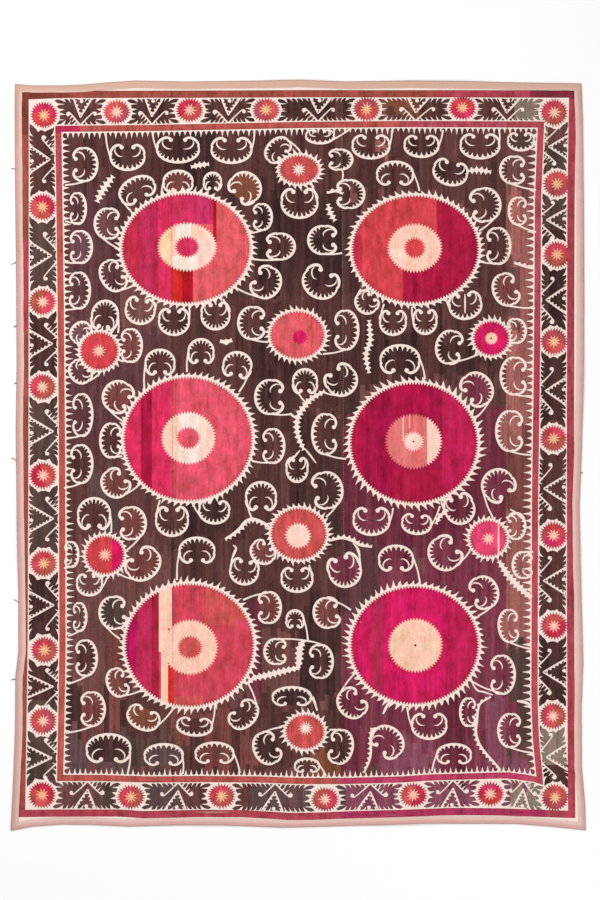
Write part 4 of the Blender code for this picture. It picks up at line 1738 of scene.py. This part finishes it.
def side_ends(side, inset, join):
    """Where a side's binding starts and ends for one inset: at its mitres, or at a join."""
    x0, x1 = float(left_edge(-LENGTH / 2)), float(right_edge(0.0))
    y0, y1 = float(bottom_edge(0.0)), float(top_edge(0.0))
    ends = []
    for high_end in (False, True):
        x, y = (x0, y0) if side in ("left", "bottom") else (x1, y1)
        if side in ("left", "right"):
            y = y1 if high_end else y0
        else:
            x = x1 if high_end else x0
        for _ in range(5):
            right_side = side == "right" or (side in ("top", "bottom") and high_end)
            top_side = side == "top" or (side in ("left", "right") and high_end)
            x = right_edge(y) - inset if right_side else left_edge(y) + inset
            y = top_edge(x) - inset if top_side else bottom_edge(x) + inset
        back = -MITRE_GAP if high_end else MITRE_GAP
        ends.append(float(y if side in ("left", "right") else x) + back)
    return tuple(joined if joined is not None else mitred for joined, mitred in zip(join, ends))


def fold_section():
    """The ring (inset, height) of the folded cloth: along its outer face and back along its inner face."""
    profile = fold_profile()
    along = np.gradient(profile, axis=0)
    along /= np.linalg.norm(along, axis=1)[:, None]
    outward = np.stack([along[:, 1], -along[:, 0]], axis=1)
    if outward[0, 1] > 0:
        outward = -outward
    return np.vstack([profile + outward * BINDING_THICK / 2, (profile - outward * BINDING_THICK / 2)[::-1]])


def folded_places(section, side, join, seed):
    """The section at each station of a side, puffed between the stitches and calm at both ends."""
    middle_start, middle_end = side_ends(side, 0.01, join)
    stations = max(8, round((middle_end - middle_start) / STATION))
    share = np.linspace(0, 1, stations + 1)
    calm = np.clip(np.minimum(share, 1 - share) * (middle_end - middle_start) / CALM_ENDS, 0, 1)
    rows = []
    for inset, high in section:
        start, end = side_ends(side, inset, join)
        along = start + (end - start) * share
        outside = np.clip(1 - inset / BINDING_WIDE, 0, 1)
        moved = inset + calm * WOBBLE * (1 - outside) * drift(along, seed + 2, WOBBLE_WAVE)
        puffed = high
        if high > FOLD_HIGH / 2:
            swell = 0.4 + 0.6 * drift(along, seed, PUFF_WAVE)
            puffed = high + calm * PUFF * swell * np.sin(math.pi * outside) ** 2
        rows.append(on_side(side, along, moved, puffed))
    return np.stack(rows, axis=1)

# %% Mesh of the folded strip
PICTURE_ROWS = 14
CAP_ON_PICTURE = ((0.002, 0.002), (0.004, 0.002), (0.004, 0.004), (0.002, 0.004))


def face_outward(mesh):
    """Turns all faces of a closed piece outwards."""
    bm = bmesh.new()
    bm.from_mesh(mesh)
    bmesh.ops.recalc_face_normals(bm, faces=bm.faces)
    bm.to_mesh(mesh)
    bm.free()


def folded_faces(section, stations):
    """Faces round the section from station to station and at both ends, and where they lie on the picture.

    The picture is the one that the finish is baked to, where the strip is cut into rows."""
    wide = len(section)
    round_it = lengths(np.vstack([section, section[:1]]))
    per_row = math.ceil((stations + 1) / PICTURE_ROWS)
    faces, uvs = [], []
    for i in range(stations):
        row, place = divmod(i, per_row)
        left, right = (0.01 + 0.98 * (place + k) / per_row for k in (0, 1))
        for j in range(wide):
            after = (j + 1) % wide
            faces.append((i * wide + j, i * wide + after, (i + 1) * wide + after, (i + 1) * wide + j))
            low, high = ((row + 0.04 + 0.92 * round_it[k] / round_it[-1]) / PICTURE_ROWS for k in (j, j + 1))
            uvs += [(left, low), (left, high), (right, high), (right, low)]
    for first, turned in ((0, True), (stations * wide, False)):
        for j in range(wide // 2 - 1):
            cap = [first + j, first + j + 1, first + wide - 2 - j, first + wide - 1 - j]
            faces.append(cap[::-1] if turned else cap)
            uvs += CAP_ON_PICTURE
    return faces, uvs


def folded_strip(name, side, join, seed):
    section = fold_section()
    points = folded_places(section, side, join, seed)
    faces, uvs = folded_faces(section, len(points) - 1)
    insets = np.tile(section[:, 0], len(points))
    mesh = bpy.data.meshes.new(name)
    mesh.from_pydata(points.reshape(-1, 3).tolist(), [], faces)
    mesh.attributes.new("inset", "FLOAT", "POINT").data.foreach_set("value", insets.astype(np.float32))
    mesh.uv_layers.new(name="OFBake").data.foreach_set("uv", np.array(uvs, np.float32).ravel())
    face_outward(mesh)
    soften(mesh, SHARP_FOLD)
    return mesh

# %% Faded pink cotton
FINE_THREAD_PITCH = 0.9 * MM


def binding_finish():
    """Pink that has faded unevenly, tan near the top and the left, and darkened towards the outer fold by
    painted shade.
    """
    finish = Finish("faded_pink_cotton", 0.9)
    place, x, y = finish.places()
    inset = finish.node("ShaderNodeAttribute", {"attribute_name": "inset"}, "Fac")
    tan_share = finish.noise(place, 2.3, 3.0, 0.55)
    near_top = (y - 0.9).math("MAXIMUM", 0.0) * 0.9
    faded = finish.blend((tan_share - 0.58 + near_top) * 5.0, colour("d3a39d"), colour("c49a82"))
    blotched = finish.blend((finish.noise(place, 30.0, 4.0, 0.6) - 0.45) * 1.6, faded, colour("dcb8ae"))
    inner = (inset - 9.0 * MM) / (5.0 * MM)
    banded = finish.blend(inner * 0.42, blotched, colour("e6c5ba"))
    banded = finish.blend((y - 1.225) * 33, banded, colour("d2ab98"))
    banded = finish.blend((x * -1 - 0.93) * 8, banded, colour("b08c80"))
    # Painted shade: the colour is darkened towards the outer fold, within 4.6 mm of the edge.
    edge = ((inset * -1 + 4.6 * MM) / (4.0 * MM)).math("MAXIMUM", 0.0)
    shaded = finish.blend(edge * 0.7, banded, colour("9a746c"))
    threads = finish.noise(finish.point(x * 700, y * 700), 1.0, 2.0)
    final = finish.blend((threads - 0.5) * 0.8, shaded, colour("b88f86"))
    height = weave(x, y, FINE_THREAD_PITCH) + threads
    finish.shade(Base_Color=final, Normal=finish.bump(height, 0.2 * MM, 0.7))
    return finish.material

# %% Make the five lengths of binding
PINK_COTTON = binding_finish()
BINDINGS = (
    ("binding_left_upper", "left", (LEFT_JOIN_Y + PIECE_GAP / 2, None)),
    ("binding_left_lower", "left", (None, LEFT_JOIN_Y - PIECE_GAP / 2)),
    ("binding_right", "right", (None, None)),
    ("binding_top", "top", (None, None)),
    ("binding_bottom", "bottom", (None, None)),
)
bindings = []
for seed, (node, side, join) in enumerate(BINDINGS):
    mesh = folded_strip("folded_" + node, side, join, seed)
    mesh.materials.append(PINK_COTTON)
    strip = in_scene(mesh.name, mesh)
    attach(strip, "root")
    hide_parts(node)
    bindings.append(strip)
    print(mesh.name, len(mesh.polygons), "faces")

# %% [markdown]
# ## Stitches
#
# Two kinds of sewing hold the pieces together. Small running stitches go through the binding near its
# inner edge, and slanting whip stitches join each strip of cloth to the next over the silk. Each is one small
# closed shape that Geometry Nodes sets at many places, with a little chance in its turn and length. The
# places are the points of a mesh, which carry the direction of their seam as an attribute.

# %% Geometry Nodes that set the stitches
def stitch_nodes():
    tree = bpy.data.node_groups.new("stitches_at_points", "GeometryNodeTree")
    face = tree.interface
    face.new_socket("Geometry", in_out="INPUT", socket_type="NodeSocketGeometry")
    for name, value in (("Length", 4.0 * MM), ("Thickness", 0.8 * MM), ("Looseness", 0.12)):
        face.new_socket(name, in_out="INPUT", socket_type="NodeSocketFloat").default_value = value
    face.new_socket("Seed", in_out="INPUT", socket_type="NodeSocketInt")
    face.new_socket("Thread", in_out="INPUT", socket_type="NodeSocketMaterial")
    face.new_socket("Geometry", in_out="OUTPUT", socket_type="NodeSocketGeometry")
    nodes, links = tree.nodes, tree.links
    given, made = nodes.new("NodeGroupInput"), nodes.new("NodeGroupOutput")

    bead = nodes.new("GeometryNodeMeshIcoSphere")
    bead.inputs["Radius"].default_value = 0.5
    bead.inputs["Subdivisions"].default_value = 1
    turn = nodes.new("GeometryNodeInputNamedAttribute")
    turn.data_type = "FLOAT"
    turn.inputs["Name"].default_value = "turn"
    chance_turn = nodes.new("FunctionNodeRandomValue")
    chance_turn.data_type = "FLOAT"
    links.new(given.outputs["Looseness"], chance_turn.inputs[3])
    links.new(given.outputs["Seed"], chance_turn.inputs["Seed"])
    whole_turn = nodes.new("ShaderNodeMath")
    links.new(turn.outputs["Attribute"], whole_turn.inputs[0])
    links.new(chance_turn.outputs[1], whole_turn.inputs[1])
    rotation = nodes.new("ShaderNodeCombineXYZ")
    links.new(whole_turn.outputs[0], rotation.inputs["Z"])

    stretch = nodes.new("FunctionNodeRandomValue")
    stretch.data_type = "FLOAT"
    stretch.inputs[2].default_value = 0.8
    stretch.inputs[3].default_value = 1.15
    links.new(given.outputs["Seed"], stretch.inputs["Seed"])
    long = nodes.new("ShaderNodeMath")
    long.operation = "MULTIPLY"
    links.new(stretch.outputs[1], long.inputs[0])
    links.new(given.outputs["Length"], long.inputs[1])
    size = nodes.new("ShaderNodeCombineXYZ")
    links.new(long.outputs[0], size.inputs["X"])
    links.new(given.outputs["Thickness"], size.inputs["Y"])
    links.new(given.outputs["Thickness"], size.inputs["Z"])

    place = nodes.new("GeometryNodeInstanceOnPoints")
    links.new(given.outputs["Geometry"], place.inputs["Points"])
    links.new(bead.outputs["Mesh"], place.inputs["Instance"])
    links.new(rotation.outputs["Vector"], place.inputs["Rotation"])
    links.new(size.outputs["Vector"], place.inputs["Scale"])
    real = nodes.new("GeometryNodeRealizeInstances")
    links.new(place.outputs["Instances"], real.inputs["Geometry"])
    thread = nodes.new("GeometryNodeSetMaterial")
    links.new(real.outputs["Geometry"], thread.inputs["Geometry"])
    links.new(given.outputs["Thread"], thread.inputs["Material"])
    links.new(thread.outputs["Geometry"], made.inputs["Geometry"])
    return tree


STITCHES = stitch_nodes()
print(len(STITCHES.nodes), "nodes set the stitches")

# %% Sew one row of stitches
def sew(name, places, turns, thread, seed, **sizes):
    """Makes one object with a stitch at each place."""
    mesh = bpy.data.meshes.new(name + "_places")
    mesh.from_pydata(np.asarray(places).tolist(), [], [])
    mesh.attributes.new("turn", "FLOAT", "POINT").data.foreach_set("value", np.asarray(turns, np.float32))
    mesh.materials.append(thread)
    holder = in_scene(name + "_places", mesh)
    modifier = holder.modifiers.new("stitches", "NODES")
    modifier.node_group = STITCHES
    given = {"Seed": seed, "Thread": thread, **sizes}
    for item in STITCHES.interface.items_tree:
        if item.in_out == "INPUT" and item.name in given:
            modifier[item.identifier] = given[item.name]
    made = bpy.data.meshes.new_from_object(holder.evaluated_get(bpy.context.evaluated_depsgraph_get()))
    made.name = name
    bpy.data.objects.remove(holder)
    bpy.data.meshes.remove(mesh)
    made.shade_smooth()
    sewn = in_scene(name, made)
    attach(sewn, "root")
    print(name, len(places), "stitches,", len(made.polygons), "faces")

# %% Threads for sewing
def thread_finish(name, code, dark):
    finish = Finish(name, 0.85)
    place = finish.places()[0]
    speckle = finish.noise(place, 900.0, 2.0)
    finish.shade(Base_Color=finish.blend((speckle - 0.35) * 1.4, colour(code), colour(dark)))
    return finish.material


PALE_THREAD = thread_finish("pale_sewing_thread", "efe2d2", "cdb9a2")
BROWN_THREAD = thread_finish("brown_sewing_thread", "7c5850", "4c302c")
ROSE_THREAD = thread_finish("rose_sewing_thread", "c4857c", "9a625b")

# %% Whip stitches over the three seams
WHIP_PITCH = 7.0 * MM
WHIP_SLANT = math.radians(62)
WHIP_STITCH = {"Length": 4.6 * MM, "Thickness": 0.9 * MM}
SEAM_ENDS = 34 * MM
WHIP_JITTER, WHIP_LIFT = 0.8 * MM, 0.05 * MM
PALE_SEAM = 2
PALE_TOP, PALE_BOTTOM = 95, 590


def seam_places(seam):
    y = np.arange(bottom_edge(seam.bottom_x) + SEAM_ENDS, top_edge(seam.top_x) - SEAM_ENDS, WHIP_PITCH)
    y = y + np.random.default_rng(5).uniform(-WHIP_JITTER, WHIP_JITTER, len(y))
    x = seam_x(seam, y)
    lean = math.atan2(1.0, (seam.top_x - seam.bottom_x) / LENGTH)
    high = lift(x, y) + CLOTH_THICK + WHIP_LIFT
    return np.stack([x, y, high], axis=1), np.full(len(y), lean - WHIP_SLANT)


for number, seam in enumerate(SEAMS, 1):
    places, turns = seam_places(seam)
    down = CENTRE_DOWN - places[:, 1] / STEP
    pale = (number == PALE_SEAM) & (down > PALE_TOP) & (down < PALE_BOTTOM)
    for chosen, thread, label in ((pale, PALE_THREAD, "pale"), (~pale, BROWN_THREAD, "brown")):
        if chosen.any():
            name = f"seam_{number}_{label}_stitches"
            sew(name, places[chosen], turns[chosen], thread, number + 2, **WHIP_STITCH)

# %% Running stitches along the binding
HEM_PITCH = 8.0 * MM
HEM_INSET, HEM_WANDER = 21.0 * MM, 0.7 * MM
HEM_ENDS, HEM_JITTER, HEM_LIFT = 6 * MM, 1.0 * MM, 0.1 * MM
HEM_STITCH = {"Length": 3.8 * MM, "Thickness": 0.7 * MM}
for seed, (node, side, join) in enumerate(BINDINGS):
    start, end = side_ends(side, HEM_INSET, join)
    along = np.arange(start + HEM_ENDS, end - HEM_ENDS, HEM_PITCH)
    along = along + np.random.default_rng(seed).uniform(-HEM_JITTER, HEM_JITTER, len(along))
    inset = HEM_INSET + HEM_WANDER * drift(along, seed + 4, 0.4)
    places = on_side(side, along, inset, FOLD_HIGH + HEM_LIFT)
    slopes = on_side(side, along + 1 * MM, inset, 0.0) - on_side(side, along - 1 * MM, inset, 0.0)
    turns = np.arctan2(slopes[:, 1], slopes[:, 0]) - 0.06
    sew(node + "_stitches", places, turns, ROSE_THREAD, seed + 11, **HEM_STITCH)

# %% [markdown]
# ## Loose thread ends
#
# Short ends of thick thread stick out past the fold at eight places, perhaps left from loops that once held
# the cloth. Each is a yarn of two plies. A curve with a round bevel would look like wire, so each is a tube
# whose section has two lobes and turns as it runs.

# %% The eight ends
Stub = namedtuple("Stub", "side y reach_mm drop_mm hook_mm thick_mm")
STUBS = (
    Stub(-1, 0.971, 13, 2, 4, 1.6), Stub(-1, 0.657, 16, -7, -2, 1.5), Stub(-1, 0.438, 9, -4, 3, 1.8),
    Stub(-1, 0.246, 7, -5, 2, 1.6), Stub(-1, -0.019, 16, 7, 5, 2.6), Stub(-1, -0.500, 16, 9, 2, 1.6),
    Stub(-1, -0.762, 14, -3, 2, 1.6), Stub(1, -0.062, 7, 3, 2, 1.5),
)
STUB_TAPER = 0.35
YARN_SIDES, YARN_STEPS = 14, 26
YARN_TURNS_A_MM = 0.22
SHARP_YARN = 60


def yarn_end(number, stub):
    """A closed tube that leaves the fold, sinks to the floor and bends aside."""
    edge = float((left_edge if stub.side < 0 else right_edge)(stub.y))
    radius = stub.thick_mm * MM * 0.9
    root = edge + stub.side * (PIECE_GAP + radius * 0.3)
    start_high = max(radius, float(lift(np.array(edge), np.array(stub.y))) + FOLD_HIGH / 2)

    def centre(part):
        bend = stub.drop_mm * part + stub.hook_mm * math.sin(math.pi * part)
        high = radius + (start_high - radius) * (1 - part) ** 2
        return np.array([root + stub.side * stub.reach_mm * MM * part, stub.y + bend * MM, high])

    points, faces = [], []
    for step in range(YARN_STEPS + 1):
        part = step / YARN_STEPS
        thin = radius * (1 - STUB_TAPER * part) * min(1.0, 0.35 + (1 - part) * 9)
        twist = part * stub.reach_mm * YARN_TURNS_A_MM * 2 * math.pi
        for k in range(YARN_SIDES):
            turn = 2 * math.pi * k / YARN_SIDES
            reach = thin * (0.74 + 0.26 * abs(math.cos(turn)) ** 0.8)
            out = np.array([0, math.cos(turn + twist), math.sin(turn + twist)])
            points.append(centre(part) + out * reach)
    for step in range(YARN_STEPS):
        for k in range(YARN_SIDES):
            a, b = step * YARN_SIDES + k, step * YARN_SIDES + (k + 1) % YARN_SIDES
            faces.append((a, b, b + YARN_SIDES, a + YARN_SIDES))
    faces.append(tuple(range(YARN_SIDES)))
    faces.append(tuple(range(YARN_STEPS * YARN_SIDES, (YARN_STEPS + 1) * YARN_SIDES)))
    mesh = bpy.data.meshes.new(f"yarn_end_{number}")
    mesh.from_pydata([tuple(p) for p in points], [], faces)
    face_outward(mesh)
    soften(mesh, SHARP_YARN)
    return mesh


YARNS = (thread_finish("dark_yarn", "55403e", "2c1f1f"), thread_finish("beige_yarn", "b89a84", "86695a"))
for number, stub in enumerate(STUBS, 1):
    mesh = yarn_end(number, stub)
    mesh.materials.append(YARNS[1] if number == 5 else YARNS[0])
    end = in_scene(mesh.name, mesh)
    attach(end, "root")
    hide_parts(f"thread_end_{number}")
print(len(STUBS), "thread ends")

# %% [markdown]
# ## The size of the cloth pieces
#
# Cloth has a flat size that stays the same however it is folded. It could be worked out from the mesh later,
# but only the maker knows what was cut. The cell below measures each strip across and along, and each
# binding's length along its side, but keeps neither.

# %% Measure the strips and bindings
for strip in strips:
    across = [v.co.x for v in strip.data.vertices]
    along = [v.co.y for v in strip.data.vertices]
    size = (max(across) - min(across), max(along) - min(along))
for strip, (node, side, join) in zip(bindings, BINDINGS):
    start, end = side_ends(side, 0.0, join)
    end - start

# %% [markdown]
# ## Floor, light and camera
#
# The hanging lies on a pale floor under soft, even light, and the camera looks straight down at it from far
# away through a long lens, as one does to photograph a textile flat. A short lens near by would take in as
# much, but it would show every fold near the edge from the side.

# %% Floor
FLOOR_HALF = 9.0
FLOOR_GAP = 0.2 * MM
floor_corners = [(x * FLOOR_HALF, y * FLOOR_HALF, 0) for x, y in ((-1, -1), (1, -1), (1, 1), (-1, 1))]
floor_mesh = bpy.data.meshes.new("floor")
floor_mesh.from_pydata(floor_corners, [], [(0, 1, 2, 3)])
floor = in_scene("floor", floor_mesh)
floor.location.z = -FLOOR_GAP
floor_finish = Finish("pale_floor", 0.95)
floor_finish.shade(Base_Color=(0.97, 0.97, 0.97, 1.0))
floor_mesh.materials.append(floor_finish.material)

# %% The light all round
EVEN_LIGHT = 0.56
world = bpy.data.worlds.new("studio")
world.use_nodes = True
world.node_tree.nodes["Background"].inputs["Color"].default_value = (1.0, 1.0, 1.0, 1.0)
world.node_tree.nodes["Background"].inputs["Strength"].default_value = EVEN_LIGHT
bpy.context.scene.world = world
bpy.context.scene.view_settings.view_transform = "Standard"

# %% Two soft lamps
def soft_light(name, place, size, power):
    """A square lamp that faces the middle of the hanging."""
    lamp = bpy.data.lights.new(name, "AREA")
    lamp.shape = "SQUARE"
    lamp.size = size
    lamp.energy = power
    made = in_scene(name, lamp)
    made.location = place
    made.rotation_euler = (-Vector(place)).to_track_quat("-Z", "Y").to_euler()


soft_light("key", (-3.6, 3.2, 4.2), size=2.5, power=205)
soft_light("fill", (3.2, -3.5, 4.6), size=3.5, power=125)

# %% Camera
LENS, SENSOR = 100.0, 36.0
camera_data = bpy.data.cameras.new("above")
camera_data.lens = LENS
camera_data.sensor_width = SENSOR
camera_data.clip_end = 60.0
camera = in_scene("above", camera_data)
distance = PAGE_HIGH * STEP * LENS / SENSOR
page_x, page_y = to_cloth([(PAGE_WIDE / 2, PAGE_HIGH / 2)])[0]
camera.location = (page_x, page_y, distance + CLOTH_THICK)
bpy.context.scene.camera = camera
print("camera", [round(c, 3) for c in camera.location])
